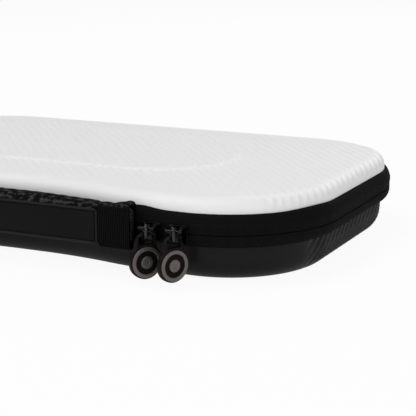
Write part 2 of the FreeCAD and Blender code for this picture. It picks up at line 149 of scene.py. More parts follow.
@dataclass(frozen=True)
class Bend:
    """Round run about a centre, with its first angle and its sweep in degrees."""

    centre: Point
    radius: float
    first: float
    sweep: float

    @property
    def length(self) -> float:
        """Length of the run."""
        return self.radius * math.radians(abs(self.sweep))

    def at(self, share: float) -> Station:
        """Station at a share of the run.

        Args:
            share: Share of the run's length, from 0 to 1.

        Returns:
            The station there.
        """
        turn = math.radians(self.first + self.sweep * share)
        side = math.copysign(1, self.sweep)
        x, y = math.cos(turn), math.sin(turn)
        spot = self.centre[0] + self.radius * x, self.centre[1] + self.radius * y
        return Station(*spot, side * x, side * y)

    def mirrored(self, flip_x: float, flip_y: float) -> Bend:
        """Matching run on the other side, with one of the two signs negative."""
        centre = (self.centre[0] * flip_x, self.centre[1] * flip_y)
        first = (180 if flip_x < 0 else 0) - self.first - self.sweep
        return Bend(centre, self.radius, first, self.sweep)


Run = Straight | Bend


def mirrored(runs: Sequence[Run], flip_x: float = 1, flip_y: float = 1) -> list[Run]:
    """Matching runs on the other side, in the order in which the line meets them."""
    return [run.mirrored(flip_x, flip_y) for run in reversed(runs)]


class PlanLine:
    """Closed line in plan, made of runs that follow each other anticlockwise."""

    def __init__(self, runs: Sequence[Run]) -> None:
        """Keep the runs."""
        self.runs = list(runs)
        self.length = sum(run.length for run in self.runs)

    def at(self, distance: float) -> Station:
        """Station at a distance from the line's start.

        Args:
            distance: Distance along the line, which may pass its end.

        Returns:
            The station there.
        """
        left = distance % self.length
        for run in self.runs:
            if left <= run.length:
                return run.at(left / run.length)
            left -= run.length
        return self.runs[-1].at(1)

    def steps(self, spacing: float) -> list[float]:
        """Distances for stations about a spacing apart, with one at the end of each run.

        Args:
            spacing: Distance between stations, nearly kept.

        Returns:
            The distances, with the line's start and end.
        """
        found = [0.0]
        start = 0.0
        for run in self.runs:
            count = max(1, round(run.length / spacing))
            found += spread(start, start + run.length, count)[1:]
            start += run.length
        return found


def rounded_rectangle(half_x: float, half_y: float, radius: float) -> PlanLine:
    """Rectangle about the origin with round corners, from the left of its lower side.

    Args:
        half_x: Half its length along X.
        half_y: Half its length along Y.
        radius: Radius of its corners.

    Returns:
        The line.
    """
    x, y = half_x - radius, half_y - radius
    centres = [(-x, -y), (x, -y), (x, y), (-x, y), (-x, -y)]
    runs: list[Run] = []
    for side, (out_x, out_y) in enumerate([(0, -1), (1, 0), (0, 1), (-1, 0)]):
        ends = [(a + out_x * radius, b + out_y * radius) for a, b in centres[side : side + 2]]
        runs += [Straight(*ends), Bend(centres[side + 1], radius, 90 * (side - 1) % 360, 90)]
    return PlanLine(runs)


# Shapes of cross-sections


def smooth_step(low: float, high: float, value: float) -> float:
    """Smooth rise from 0 at low to 1 at high."""
    share = min(max((value - low) / (high - low), 0.0), 1.0)
    return share * share * (3 - 2 * share)


def bell(value: float, centre: float, reach: float) -> float:
    """Bell curve with its top of 1 at the centre."""
    return math.exp(-(((value - centre) / reach) ** 2))


def power(value: float, exponent: float) -> float:
    """Power of the size of a number, with the number's sign."""
    return math.copysign(abs(value) ** exponent, value)


def spread(first: float, last: float, count: int) -> list[float]:
    """Values in even steps from the first to the last, both included."""
    return [first + (last - first) * step / count for step in range(count + 1)]


def run_lengths(points: Sequence[Point]) -> list[float]:
    """Distance along a line at each of its points.

    Args:
        points: Points of the line.

    Returns:
        One distance for each point.
    """
    found = [0.0]
    for before, after in zip(points, points[1:]):
        found.append(found[-1] + math.dist(before, after))
    return found


def quarter(centre: Point, radius: float, first: float, last: float, count: int = 5) -> list[Point]:
    """Points of an arc in a section, both ends included.

    Args:
        centre: Centre of the arc.
        radius: Its radius.
        first: Angle of its first point, in degrees.
        last: Angle of its last point, in degrees.
        count: Number of steps.

    Returns:
        The arc's points.
    """
    turns = [math.radians(turn) for turn in spread(first, last, count)]
    return [(centre[0] + radius * math.cos(t), centre[1] + radius * math.sin(t)) for t in turns]


def softened(
    points: Sequence[Point], radius: float, count: int = 3, closed: bool = True
) -> list[Point]:
    """Round the corners of a section.

    Args:
        points: Corners in order.
        radius: Reach of each rounding along the sides, shortened where a side is short.
        count: Steps in each rounding.
        closed: Whether the last corner joins the first.

    Returns:
        The section with rounded corners.
    """
    result: list[Point] = []
    total = len(points)
    for index, corner in enumerate(points):
        if not closed and index in (0, total - 1):
            result.append(corner)
            continue
        here = Vector(corner)
        ways = [Vector(points[index - 1]) - here, Vector(points[(index + 1) % total]) - here]
        reach = min(radius, *(way.length * 0.45 for way in ways))
        first, last = (here + way.normalized() * reach for way in ways)
        for t in spread(0, 1, count):
            result.append(tuple(first * (1 - t) ** 2 + here * 2 * t * (1 - t) + last * t**2))
    return result


def flowing(points: Sequence[Point], steps: int = 4) -> list[Point]:
    """Smooth line through all points of an open section.

    Args:
        points: Points that the line passes.
        steps: Steps between two of them.

    Returns:
        The points of the smooth line.
    """
    spots = [Vector(points[0]), *map(Vector, points), Vector(points[-1])]
    result: list[Point] = []
    for index in range(1, len(spots) - 2):
        a, b, c, d = spots[index - 1 : index + 3]
        for t in spread(0, 1, steps)[:-1]:
            second, third = 2 * a - 5 * b + 4 * c - d, 3 * b - a - 3 * c + d
            result.append(tuple(0.5 * (2 * b + (c - a) * t + second * t**2 + third * t**3)))
    return [*result, tuple(points[-1])]


def heading(points: Sequence[Point], index: int) -> Vector:
    """Direction of an open line at one of its points."""
    before, after = points[max(index - 1, 0)], points[min(index + 1, len(points) - 1)]
    return (Vector(after) - Vector(before)).normalized()


def thick(points: Sequence[Point], thickness: float) -> list[Point]:
    """Closed section of a sheet that follows an open line, grown to the line's right-hand side.

    Args:
        points: Points of the line.
        thickness: Thickness of the sheet.

    Returns:
        The section.
    """
    back: list[Point] = []
    for index, spot in enumerate(points):
        along = heading(points, index)
        back.append((spot[0] + along.y * thickness, spot[1] - along.x * thickness))
    return [*points, *back[::-1]]


# Sizes that are shared


@dataclass(frozen=True)
class CaseSizes:
    """Sizes of the case that more than one piece needs."""

    half_length: float = 145.0
    half_width: float = 85.5
    corner_radius: float = 52.0
    waist_depth: float = 7.0
    waist_flat_half: float = 6.0
    waist_end: float = 84.0
    seam: float = 23.3
    base_rim: float = 21.4
    lid_edge: float = 32.45
    lid_top: float = 39.3
    lid_flange: float = 25.3
    lining: float = 0.7
    clearance: float = 0.05

    def outline(self) -> PlanLine:
        """Plan of the case, from the middle of its front, anticlockwise."""
        waist = self.waist_depth - self.half_width
        run = self.waist_end - self.waist_flat_half
        bend = (run**2 + self.waist_depth**2) / (4 * self.waist_depth)
        angle = math.degrees(2 * math.atan2(self.waist_depth, run))
        flat, end = self.waist_flat_half, self.waist_end
        front, side, radius = -self.half_width, self.half_length, self.corner_radius
        x, y = side - radius, self.half_width - radius
        right = [
            Straight((0, waist), (flat, waist)),
            Bend((flat, waist - bend), bend, 90, -angle),
            Bend((end, front + bend), bend, 270 - angle, angle),
            Straight((end, front), (x, front)),
            Bend((x, -y), radius, 270, 90),
            Straight((side, -y), (side, y)),
            Bend((x, y), radius, 0, 90),
        ]
        back = Straight((x, -front), (-x, -front))
        return PlanLine([*right, back, *mirrored(right, flip_x=-1)])


SIZES = CaseSizes()
OUTLINE = SIZES.outline()


# Work at the bench


def deselect() -> None:
    """Deselect every object."""
    bpy.ops.object.select_all(action="DESELECT")


def activate(piece: Piece) -> None:
    """Make one piece the only selected one."""
    deselect()
    piece.select_set(True)
    bpy.context.view_layer.objects.active = piece


def edit(kind: str = "VERT", select: str = "SELECT") -> None:
    """Open the active piece in edit mode, for one kind of element, with all or none selected.

    Args:
        kind: Kind of element that is edited.
        select: What is selected at first.
    """
    bpy.ops.object.mode_set(mode="EDIT")
    bpy.ops.mesh.select_mode(type="VERT")
    bpy.ops.mesh.select_all(action=select)
    bpy.ops.mesh.select_mode(type=kind)


def leave_edit() -> None:
    """Close edit mode."""
    bpy.ops.object.mode_set(mode="OBJECT")


def face_out() -> None:
    """In edit mode, turn all faces outwards."""
    bpy.ops.mesh.select_all(action="SELECT")
    bpy.ops.mesh.normals_make_consistent(inside=False)


def select_border() -> None:
    """Open the active piece in edit mode and select its open edges."""
    edit("EDGE", "DESELECT")
    others = dict.fromkeys(("use_wire", "use_multi_face", "use_non_contiguous", "use_verts"), False)
    bpy.ops.mesh.select_non_manifold(extend=False, use_boundary=True, **others)


def smooth(piece: Piece, angle: float) -> None:
    """Shade smooth where faces meet flatter than an angle in degrees."""
    activate(piece)
    bpy.ops.object.shade_smooth_by_angle(angle=math.radians(angle))


def closed_up(piece: Piece, angle: float | None = None, fill: bool = True) -> Piece:
    """Merge doubled corners, fill the open edge loops and turn all faces outwards.

    Args:
        piece: Piece to work on.
        angle: Angle in degrees under which it is shaded smooth, or None to leave the shading.
        fill: Whether open edge loops are filled.

    Returns:
        The piece.
    """
    activate(piece)
    edit()
    bpy.ops.mesh.remove_doubles(threshold=MERGE)
    bpy.ops.mesh.dissolve_degenerate(threshold=MERGE / 4)
    face_out()
    if fill:
        bpy.ops.mesh.fill_holes(sides=0)
        face_out()
    leave_edit()
    if angle is not None:
        smooth(piece, angle)
    return piece


def finish_modifier(piece: Piece, kind: str, **settings: Any) -> None:
    """Add a modifier, set it and apply it.

    Args:
        piece: Piece that gets the modifier.
        kind: Blender's name for the type of modifier.
        settings: Values of the modifier.
    """
    activate(piece)
    modifier = piece.modifiers.new(kind.title(), kind)
    for name, value in settings.items():
        setattr(modifier, name, value)
    bpy.ops.object.modifier_apply(modifier=modifier.name)


def named(piece: Piece, name: str) -> Piece:
    """Name a piece and its mesh."""
    piece.name = piece.data.name = name
    return piece


def join(name: str, pieces: Sequence[Piece]) -> Piece:
    """Join pieces into the first one and name it.

    Args:
        name: Name of the joined piece.
        pieces: Pieces to join.

    Returns:
        The joined piece.
    """
    activate(pieces[0])
    for piece in pieces:
        piece.select_set(True)
    bpy.ops.object.join()
    return named(pieces[0], name)


def shaped(piece: Piece, move: Matrix) -> Piece:
    """Move a piece's mesh, so that its object stays at the origin."""
    piece.data.transform(move)
    piece.data.update()
    return piece


def stood_up(piece: Piece, y: float, z: float) -> Piece:
    """Stand up a piece that was made lying on its back, and set it at a place."""
    return shaped(piece, Matrix.Translation((0, y * MM, z * MM)) @ STAND)


def woven_grid(
    name: str, across: int, along: int, place: Placer, flat: Flat | None = None
) -> Piece:
    """Grid whose corners are set one by one, as cloth is laid on a form.

    Args:
        name: Name of the piece.
        across: Number of cells in each row.
        along: Number of rows.
        place: Gives the place of a corner, by column and row, in millimetres.
        flat: Gives a corner's place on the flat pattern in millimetres.

    Returns:
        The new piece.
    """
    deselect()
    bpy.ops.mesh.primitive_grid_add(x_subdivisions=across, y_subdivisions=along, size=1)
    piece = named(bpy.context.object, name)
    mesh = piece.data
    cells = [(column, row) for row in range(along + 1) for column in range(across + 1)]
    mesh.vertices.foreach_set("co", [value * MM for cell in cells for value in place(*cell)])
    if flat is not None:
        pattern = mesh.uv_layers[0].data
        for loop in mesh.loops:
            u, v = flat(*cells[loop.vertex_index])
            pattern[loop.index].uv = (u * MM, v * MM)
    mesh.update()
    return piece


def swept(
    name: str,
    section: Sequence[Point],
    spacing: float = 2.0,
    line: PlanLine = OUTLINE,
    closed: bool = True,
    relief: Relief | None = None,
    span: Point | None = None,
    angle: float = 35.0,
) -> Piece:
    """Carry a section round a line in plan.

    Args:
        name: Name of the piece.
        section: Offset and height of each point of the section.
        spacing: Distance between the stations.
        line: Line in plan that the section follows.
        closed: Whether the section's last point joins its first.
        relief: Moves a section point, given the distance and the point.
        span: First and last distance, where the piece doesn't go all round.
        angle: Angle in degrees under which its faces are shaded smooth.

    Returns:
        The new piece.
    """
    if span is None:
        distances = line.steps(spacing)
    else:
        distances = spread(*span, max(1, round((span[1] - span[0]) / spacing)))
    stations = [line.at(distance) for distance in distances]
    if span is None:
        stations[-1] = stations[0]
    points = [*section, *section[:1]] if closed else list(section)
    lengths = run_lengths(points)

    def place(column: int, row: int) -> Spot:
        """Place of one corner."""
        point = points[column]
        if relief is not None:
            point = relief(distances[row], point)
        return *stations[row].moved(point[0]), point[1]

    def flat(column: int, row: int) -> Point:
        """Place of one corner on the flat pattern."""
        return distances[row], lengths[column]

    piece = woven_grid(name, len(points) - 1, len(distances) - 1, place, flat)
    return closed_up(piece, angle, fill=span is not None or not closed)


def turned(name: str, section: Sequence[Point], count: int) -> Piece:
    """Turned piece about Z, from the radius and height of each point of its section.

    Args:
        name: Name of the piece.
        section: Radius and height of each point.
        count: Number of faces round it.

    Returns:
        The new piece.
    """

    def place(column: int, row: int) -> Spot:
        """Place of one corner."""
        radius, height = section[column]
        turn = 2 * math.pi * row / count
        return radius * math.cos(turn), radius * math.sin(turn), height

    piece = woven_grid(name, len(section) - 1, count, place, lambda column, row: section[column])
    return closed_up(piece, 30)


def tube(name: str, path: Sequence[Vector], radius: float, closed: bool, sides: int) -> Piece:
    """Round wire along a path.

    Args:
        name: Name of the piece.
        path: Points of its centre line.
        radius: Radius of the wire.
        closed: Whether its ends meet.
        sides: Number of faces round it.

    Returns:
        The new piece.
    """
    total = len(path)
    frames: list[tuple[Vector, Vector]] = []
    upright: Vector | None = None
    for index in range(total):
        before = path[index - 1] if closed or index else path[0]
        after = path[(index + 1) % total] if closed or index < total - 1 else path[-1]
        along = (after - before).normalized()
        guess = upright if upright is not None else along.orthogonal()
        upright = (guess - along * guess.dot(along)).normalized()
        frames.append((upright, along.cross(upright)))

    def place(column: int, row: int) -> Spot:
        """Place of one corner."""
        turn = 2 * math.pi * column / sides
        first, second = frames[row % total]
        out = first * math.cos(turn) + second * math.sin(turn)
        return tuple(path[row % total] + out * radius)

    piece = woven_grid(name, sides, total if closed else total - 1, place)
    return closed_up(piece, 50, fill=not closed)


def rounded_box(
    name: str, low: Sequence[float], high: Sequence[float], bevel: float, steps: int = 3
) -> Piece:
    """Block between two corners with bevelled edges.

    Args:
        name: Name of the piece.
        low: Lowest corner.
        high: Highest corner.
        bevel: Width of the bevel.
        steps: Faces across each bevel.

    Returns:
        The new piece.
    """
    deselect()
    bpy.ops.mesh.primitive_cube_add(size=1)
    piece = named(bpy.context.object, name)
    size = [(b - a) * MM for a, b in zip(low, high)]
    centre = [(b + a) / 2 * MM for a, b in zip(low, high)]
    shaped(piece, Matrix.Translation(centre) @ Matrix.Diagonal((*size, 1)))
    edit()
    bpy.ops.mesh.bevel(offset=bevel * MM, segments=steps, affect="EDGES")
    leave_edit()
    smooth(piece, 40)
    return piece


# Finishes


def maths(operation: str, swap: bool = False) -> Callable[..., "Signal"]:
    """Make a method that adds one Math node.

    Args:
        operation: The node's operation.
        swap: Whether the other number comes first.

    Returns:
        The method, which takes a number or signal.
    """

    def method(signal: "Signal", other: Any = 0.0) -> "Signal":
        """Result of the operation on this signal and another."""
        first, second = (other, signal) if swap else (signal, other)
        node = signal.bench.add("ShaderNodeMath", {0: first, 1: second}, operation=operation)
        return signal.bench.number(node)

    return method


@dataclass(frozen=True)
class Signal:
    """Number from a shader node, for sums written in Python."""

    bench: "Bench"
    socket: Socket

    __add__ = __radd__ = maths("ADD")
    __mul__ = __rmul__ = maths("MULTIPLY")
    __sub__ = maths("SUBTRACT")
    __rsub__ = maths("SUBTRACT", swap=True)
    __truediv__ = maths("DIVIDE")
    __gt__ = maths("GREATER_THAN")
    __mod__ = maths("FLOORED_MODULO")
    sine = maths("SINE")
    size = maths("ABSOLUTE")
    least = maths("MINIMUM")
    most = maths("MAXIMUM")

    def wave(self, pitch: float) -> "Signal":
        """Smooth wave from 0 to 1 that repeats at a pitch."""
        return (self * (2 * math.pi / pitch)).sine() * 0.5 + 0.5

    def between(self, low: float, high: float) -> "Signal":
        """Smooth rise from 0 at low to 1 at high."""
        values = {0: self, 1: low, 2: high, 3: 0.0, 4: 1.0}
        node = self.bench.add("ShaderNodeMapRange", values, interpolation_type="SMOOTHSTEP")
        return self.bench.number(node)


class Bench:
    """Node tree of one material or world."""

    def __init__(self, owner: Material | bpy.types.World) -> None:
        """Start with no nodes.

        Args:
            owner: Material or world whose nodes are made here.
        """
        self.owner = owner
        owner.use_nodes = True
        self.tree = owner.node_tree
        self.tree.nodes.clear()

    def add(
        self, kind: str, values: dict[Any, Any] | None = None, **settings: Any
    ) -> bpy.types.Node:
        """Add a node, set it, then fill its sockets.

        Args:
            kind: Type of the node.
            values: Numbers, colours, signals or sockets, by socket name or index.
            settings: Its own settings.

        Returns:
            The new node.
        """
        node = self.tree.nodes.new(kind)
        for name, value in settings.items():
            setattr(node, name, value)
        for key, value in (values or {}).items():
            socket = node.inputs[key]
            if isinstance(value, Signal):
                value = value.socket
            if isinstance(value, Socket):
                self.tree.links.new(value, socket)
            elif isinstance(value, tuple) and len(value) == 3 and socket.type == "RGBA":
                socket.default_value = (*value, 1.0)
            else:
                socket.default_value = value
        return node

    def number(self, node: bpy.types.Node, output: int | str = 0) -> Signal:
        """Output of a node as a number."""
        return Signal(self, node.outputs[output])

    def place(self) -> Socket:
        """Place on the object."""
        return self.add("ShaderNodeTexCoord").outputs["Object"]

    def axes(self, socket: Socket) -> tuple[Signal, Signal, Signal]:
        """Three numbers of a vector."""
        node = self.add("ShaderNodeSeparateXYZ", {0: socket})
        return self.number(node, 0), self.number(node, 1), self.number(node, 2)

    def pattern(self) -> tuple[Signal, Signal]:
        """Place on the piece's flat pattern, along and across."""
        return self.axes(self.add("ShaderNodeUVMap").outputs[0])[:2]

    def noise(self, scale: float, detail: float = 3.0, where: Any = None) -> Signal:
        """Noise from 0 to 1.

        Args:
            scale: Size of the noise, per metre.
            detail: Number of finer layers.
            where: Vector to use in place of the object's own.

        Returns:
            The noise.
        """
        where = self.place() if where is None else where
        values = {"Scale": scale, "Detail": detail, "Vector": where}
        return self.number(self.add("ShaderNodeTexNoise", values))

    def vector(self, x: Any, y: Any, z: Any = 0.0) -> Socket:
        """Vector from three numbers."""
        return self.add("ShaderNodeCombineXYZ", {0: x, 1: y, 2: z}).outputs[0]

    def mix(self, share: Any, first: Any, second: Any) -> Socket:
        """Colour between two others."""
        values = {0: share, 6: first, 7: second}
        return self.add("ShaderNodeMix", values, data_type="RGBA").outputs[2]

    def surface(
        self, colour: Any, roughness: Any, relief: Signal, depth: float, **constants: Any
    ) -> Material:
        """Finish the material.

        Args:
            colour: Colour or socket for the base colour.
            roughness: Number or signal for the roughness.
            relief: Height from 0 to 1 for the bump.
            depth: Depth of the bump in millimetres.
            constants: Other sockets of the shader, with words joined by _.

        Returns:
            The finished material.
        """
        bump = {"Strength": 1.0, "Distance": depth * MM, "Height": relief}
        values = {"Base Color": colour, "Roughness": roughness}
        values["Normal"] = self.add("ShaderNodeBump", bump).outputs[0]
        values |= {name.replace("_", " "): value for name, value in constants.items()}
        shader = self.add("ShaderNodeBsdfPrincipled", values)
        self.add("ShaderNodeOutputMaterial", {0: shader.outputs[0]})
        return self.owner


def grey(value: float) -> Colour:
    """Neutral colour."""
    return (value, value, value)


@dataclass(frozen=True)
class Finish:
    """A finish of the case, named by its material slot."""

    name: str

    def start(self) -> Bench:
        """Start the finish's material."""
        return Bench(bpy.data.materials.new(self.name))


@dataclass(frozen=True)
class MouldedSkin(Finish):
    """Smooth laminate moulded over foam, with a fine grain and slight scuffs."""

    colour: Colour
    scuffed: Colour
    roughness: float
    grain: float = 0.03
    gloss: float = 0.5

    def dress(self) -> Material:
        """Make the material."""
        bench = self.start()
        grain = bench.noise(2600, 2)
        clouds = bench.noise(28)
        scuffs = bench.noise(170, 5).between(0.6, 0.8)
        tint = bench.mix(scuffs * 0.35 + clouds * 0.25, self.colour, self.scuffed)
        rough = self.roughness + clouds * 0.08 + scuffs * 0.06
        relief = grain + scuffs * 0.3
        return bench.surface(tint, rough, relief, self.grain, Specular_IOR_Level=self.gloss)


@dataclass(frozen=True)
class WovenTape(Finish):
    """Plain-woven tape whose threads run along and across it."""

    thread: Colour
    gap: Colour
    pitch: float
    fleck: Colour | None = None
    depth: float = 0.12
    rib: float = 0.0

    def dress(self) -> Material:
        """Make the material."""
        bench = self.start()
        along, across = bench.pattern()
        pitch = self.pitch * MM
        warp = (along * (math.pi / pitch)).sine()
        weft = (across * (math.pi / pitch)).sine()
        over = warp * weft > 0.0
        rise = over * weft.size() + (1 - over) * warp.size()
        height = rise * 0.8 + bench.noise(1900) * 0.35
        if self.rib:
            _, _, upright = bench.axes(bench.place())
            near = 1 - (upright - SIZES.seam * MM).size().between(2.6 * MM, 5.5 * MM)
            height = height * (1 - near * 0.5) + along.wave(self.rib * MM) * near * 1.6
        tint = bench.mix(height.between(0.25, 0.85), self.gap, self.thread)
        if self.fleck is not None:
            where = bench.vector(along * 0.5 + across * 0.25, across * 0.8)
            flecks = bench.noise(580, 2, where).between(0.47, 0.6)
            tint = bench.mix(flecks * height.between(0.2, 0.7), tint, self.fleck)
        return bench.surface(tint, 0.85, height, self.depth, Specular_IOR_Level=0.06)


@dataclass(frozen=True)
class RibbedWebbing(Finish):
    """Heavy webbing with ribs along it, painted shade in the grooves between the ribs, and painted
    highlight in pale flecks above its top fold.
    """

    thread: Colour
    # The gap colour is painted shade in the grooves between the ribs.
    gap: Colour
    # The fleck colour is painted highlight on the webbing's top fold, above the fold height.
    fleck: Colour
    rib: float
    fold: float = 33.9

    def dress(self) -> Material:
        """Make the material."""
        bench = self.start()
        along, across = bench.pattern()
        pitch = self.rib * MM
        ribs = (across - pitch / 4).wave(pitch)
        cross = (along + across * 0.5).wave(0.9 * MM)
        height = ribs * 0.8 + cross * 0.2 + bench.noise(2100) * 0.25
        # Only the rib crests take the thread colour; the grooves get the gap colour as painted
        # shade.
        tint = bench.mix(height.between(0.72, 1.0), self.gap, self.thread)
        _, _, upright = bench.axes(bench.place())
        # Pale flecks above the fold height are painted highlight where the webbing folds over its
        # top.
        above = upright.between(self.fold * MM, (self.fold + 0.9) * MM)
        flecks = bench.noise(900, 3, bench.vector(along * 1.4, across * 0.5)).between(0.46, 0.62)
        tint = bench.mix(flecks * above, tint, self.fleck)
        return bench.surface(tint, 0.85, height, 0.16, Specular_IOR_Level=0.03)


@dataclass(frozen=True)
class BrushedLining(Finish):
    """Brushed knit with a soft nap."""

    nap: Colour
    shade: Colour

    def dress(self) -> Material:
        """Make the material."""
        bench = self.start()
        nap = bench.noise(1500, 4)
        lit = (nap * 0.6 + bench.noise(60) * 0.5).between(0.35, 0.8)
        tint = bench.mix(lit, self.shade, self.nap)
        return bench.surface(tint, 0.95, nap, 0.25, Sheen_Weight=0.5, Sheen_Roughness=0.4)


@dataclass(frozen=True)
class OpenNet(Finish):
    """Knitted net with open diamonds between its threads."""

    thread: Colour
    pitch: float = 4.0
    width: float = 0.2
    slope: float = 0.62

    def dress(self) -> Material:
        """Make the material."""
        bench = self.start()
        x, y, _ = bench.axes(bench.place())
        pitch = self.pitch * MM
        one = ((x + y * self.slope) % pitch / pitch - 0.5).size()
        two = ((x - y * self.slope) % pitch / pitch - 0.5).size()
        solid = one.most(two).between(0.5 - self.width * 0.62, 0.5 - self.width * 0.42)
        knots = one.least(two).between(0.3, 0.45)
        tint = bench.mix(knots, self.thread, tuple(min(1.0, part * 2.2) for part in self.thread))
        return bench.surface(tint, 0.75, solid + knots * 0.5, 0.15, Alpha=solid)


@dataclass(frozen=True)
class MouldedRubber(Finish):
    """Matt moulded rubber with a fine stipple, and where it has a frame, a paler colour on it as
    painted highlight.
    """

    colour: Colour
    dust: Colour
    roughness: float
    # The frame colour is painted highlight for a moulded frame's rounded rim.
    frame: Colour | None = None
    inside: tuple[float, float, float] = (53.2, 7.2, 24.0)

    def dress(self) -> Material:
        """Make the material."""
        bench = self.start()
        stipple = bench.noise(3800, 2)
        clouds = bench.noise(120, 4)
        tint = bench.mix(clouds.between(0.45, 0.8) * 0.5, self.colour, self.dust)
        # Beyond the inside box, on the frame, the paler frame colour is painted highlight.
        if self.frame is not None:
            half_long, half_high, middle = (size * MM for size in self.inside)
            x, _, z = bench.axes(bench.place())
            beyond = (x.size() - half_long).most((z - middle).size() - half_high)
            tint = bench.mix(beyond.between(0.0, 0.2 * MM), tint, self.frame)
        rough = self.roughness + clouds * 0.15
        return bench.surface(tint, rough, stipple, 0.03, Specular_IOR_Level=0.12)


@dataclass(frozen=True)
class CastMetal(Finish):
    """Plated metal with small marks."""

    colour: Colour
    worn: Colour
    roughness: float

    def dress(self) -> Material:
        """Make the material."""
        bench = self.start()
        marks = bench.noise(900, 4)
        tint = bench.mix(bench.noise(210).between(0.4, 0.75), self.colour, self.worn)
        return bench.surface(tint, self.roughness + marks * 0.12, marks, 0.006, Metallic=1.0)


@dataclass(frozen=True)
class InlaidMetal(Finish):
    """Satin metal with a dark channel between two radii."""

    colour: Colour
    inlay: Colour
    channel: Point

    def dress(self) -> Material:
        """Make the material."""
        bench = self.start()
        radius, _ = bench.pattern()
        inner, outer = (edge * MM for edge in self.channel)
        soft = 0.06 * MM
        past_inner = radius.between(inner - soft, inner + soft)
        inside = past_inner * (1 - radius.between(outer - soft, outer + soft))
        spun = radius.wave(0.16 * MM) * 0.5 + bench.noise(900) * 0.5
        dull = tuple(part * 0.6 for part in self.colour)
        tint = bench.mix(inside, bench.mix(bench.noise(260) * 0.3, self.colour, dull), self.inlay)
        rest = {"Metallic": 1 - inside, "Specular_IOR_Level": 0.1}
        return bench.surface(tint, 0.5 + inside * 0.1, spun, 0.006, **rest)


@dataclass(frozen=True)
class NylonWire(Finish):
    """Slightly clear nylon of the zip's teeth."""

    colour: Colour

    def dress(self) -> Material:
        """Make the material."""
        bench = self.start()
        haze = bench.noise(800)
        tint = bench.mix(haze, self.colour, tuple(part * 1.8 for part in self.colour))
        return bench.surface(tint, 0.32 + haze * 0.15, haze, 0.01, Specular_IOR_Level=0.2)


@dataclass
class Finishes:
    """All finishes of the case, made once."""

    webbing_rib: float = 16.3 / 17
    made: dict[str, Material] = field(default_factory=dict)

    def recipes(self) -> list[Any]:
        """Every finish of the case."""
        # The pale colour is painted highlight for the handle webbing's top fold; the sleeve's
        # flecks are yarn in its fabric.
        flecks, pale = (0.06, 0.058, 0.062), (0.045, 0.043, 0.046)
        # The frame colour is painted highlight on the grip patch's rounded frame.
        web, frame = (0.0078, 0.0078, 0.008), (0.0115, 0.011, 0.011)
        return [
            MouldedSkin("shell_white", (0.86, 0.855, 0.86), (0.82, 0.815, 0.815), 0.45),
            MouldedSkin("shell_black", (0.004, 0.004, 0.0045), grey(0.007), 0.36, 0.04, 0.17),
            BrushedLining("lining_grey", (0.16, 0.165, 0.17), (0.085, 0.088, 0.092)),
            WovenTape("binding_black", grey(0.012), grey(0.004), 0.5),
            BrushedLining("cradle_foam", (0.10, 0.105, 0.11), (0.05, 0.052, 0.055)),
            # Its gap colour is painted shade in the rib grooves.
            RibbedWebbing("elastic_black", grey(0.012), grey(0.003), grey(0.016), 1.1),
            WovenTape("zip_tape_black", grey(0.006), grey(0.0015), 0.85, rib=0.95),
            NylonWire("coil_nylon", grey(0.002)),
            CastMetal("stop_metal", (0.05, 0.05, 0.052), grey(0.08), 0.35),
            WovenTape("hinge_fabric", grey(0.008), grey(0.002), 0.8),
            WovenTape("handle_fabric", grey(0.006), grey(0.002), 0.9, flecks, 0.2),
            MouldedRubber(
                "grip_rubber", (0.0022, 0.002, 0.002), (0.0036, 0.0034, 0.0034), 0.42, frame
            ),
            # Its near-black gap colour is painted shade in the rib grooves.
            RibbedWebbing("webbing_black", web, grey(0.0001), pale, self.webbing_rib),
            OpenNet("net_black", grey(0.02)),
            CastMetal("slider_metal", (0.018, 0.018, 0.0185), grey(0.026), 0.16),
            CastMetal("link_metal", (0.045, 0.045, 0.046), grey(0.06), 0.08),
            MouldedRubber("pull_rubber", grey(0.003), grey(0.005), 0.42),
            InlaidMetal("badge_metal", (0.19, 0.16, 0.146), grey(0.002), (2.95, 5.35)),
        ]

    def make(self) -> None:
        """Make every finish."""
        self.made = {recipe.name: recipe.dress() for recipe in self.recipes()}

    def put(self, piece: Piece, slot: str) -> None:
        """Give a piece one finish."""
        piece.data.materials.clear()
        piece.data.materials.append(self.made[slot])


FINISHES = Finishes()


def fit(piece: Piece, body: Body, slot: str, *nodes: str) -> Piece:
    """Dress a piece, let it ride on a body and let it stand for nodes.

    Args:
        piece: The finished piece.
        body: Body that it rides on.
        slot: Its finish.
        nodes: Nodes that it stands for.

    Returns:
        The piece.
    """
    FINISHES.put(piece, slot)
    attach(piece, body.value)
    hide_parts(*nodes)
    log.info("%s: %d faces, rides on %s", piece.name, len(piece.data.polygons), body.value)
    return piece


def lining_piece(
    name: str, wall: float, edge: float, level: float, radius: float, reach: float, steps: int
) -> Piece:
    """Lining along the inside of a shell's wall and over its floor or ceiling.

    Args:
        name: Name of the piece.
        wall: Offset of the wall that it lies against.
        edge: Height of its edge at the rim.
        level: Height of the floor or ceiling that it lies against.
        radius: Radius between the wall and the floor or ceiling.
        reach: How far it runs in over the floor or ceiling.
        steps: Steps of that radius.

    Returns:
        The new piece.
    """
    up = math.copysign(1, edge - level)
    centre = (wall - radius, level + radius * up)
    faces = []
    for depth in (0.0, SIZES.lining):
        turn = quarter(centre, radius - depth, 0, -90 * up, steps)
        faces.append([(wall - depth, edge), *turn, (wall - reach, level + depth * up)])
    return swept(name, faces[0][::-1] + faces[1], closed=False)


# Base


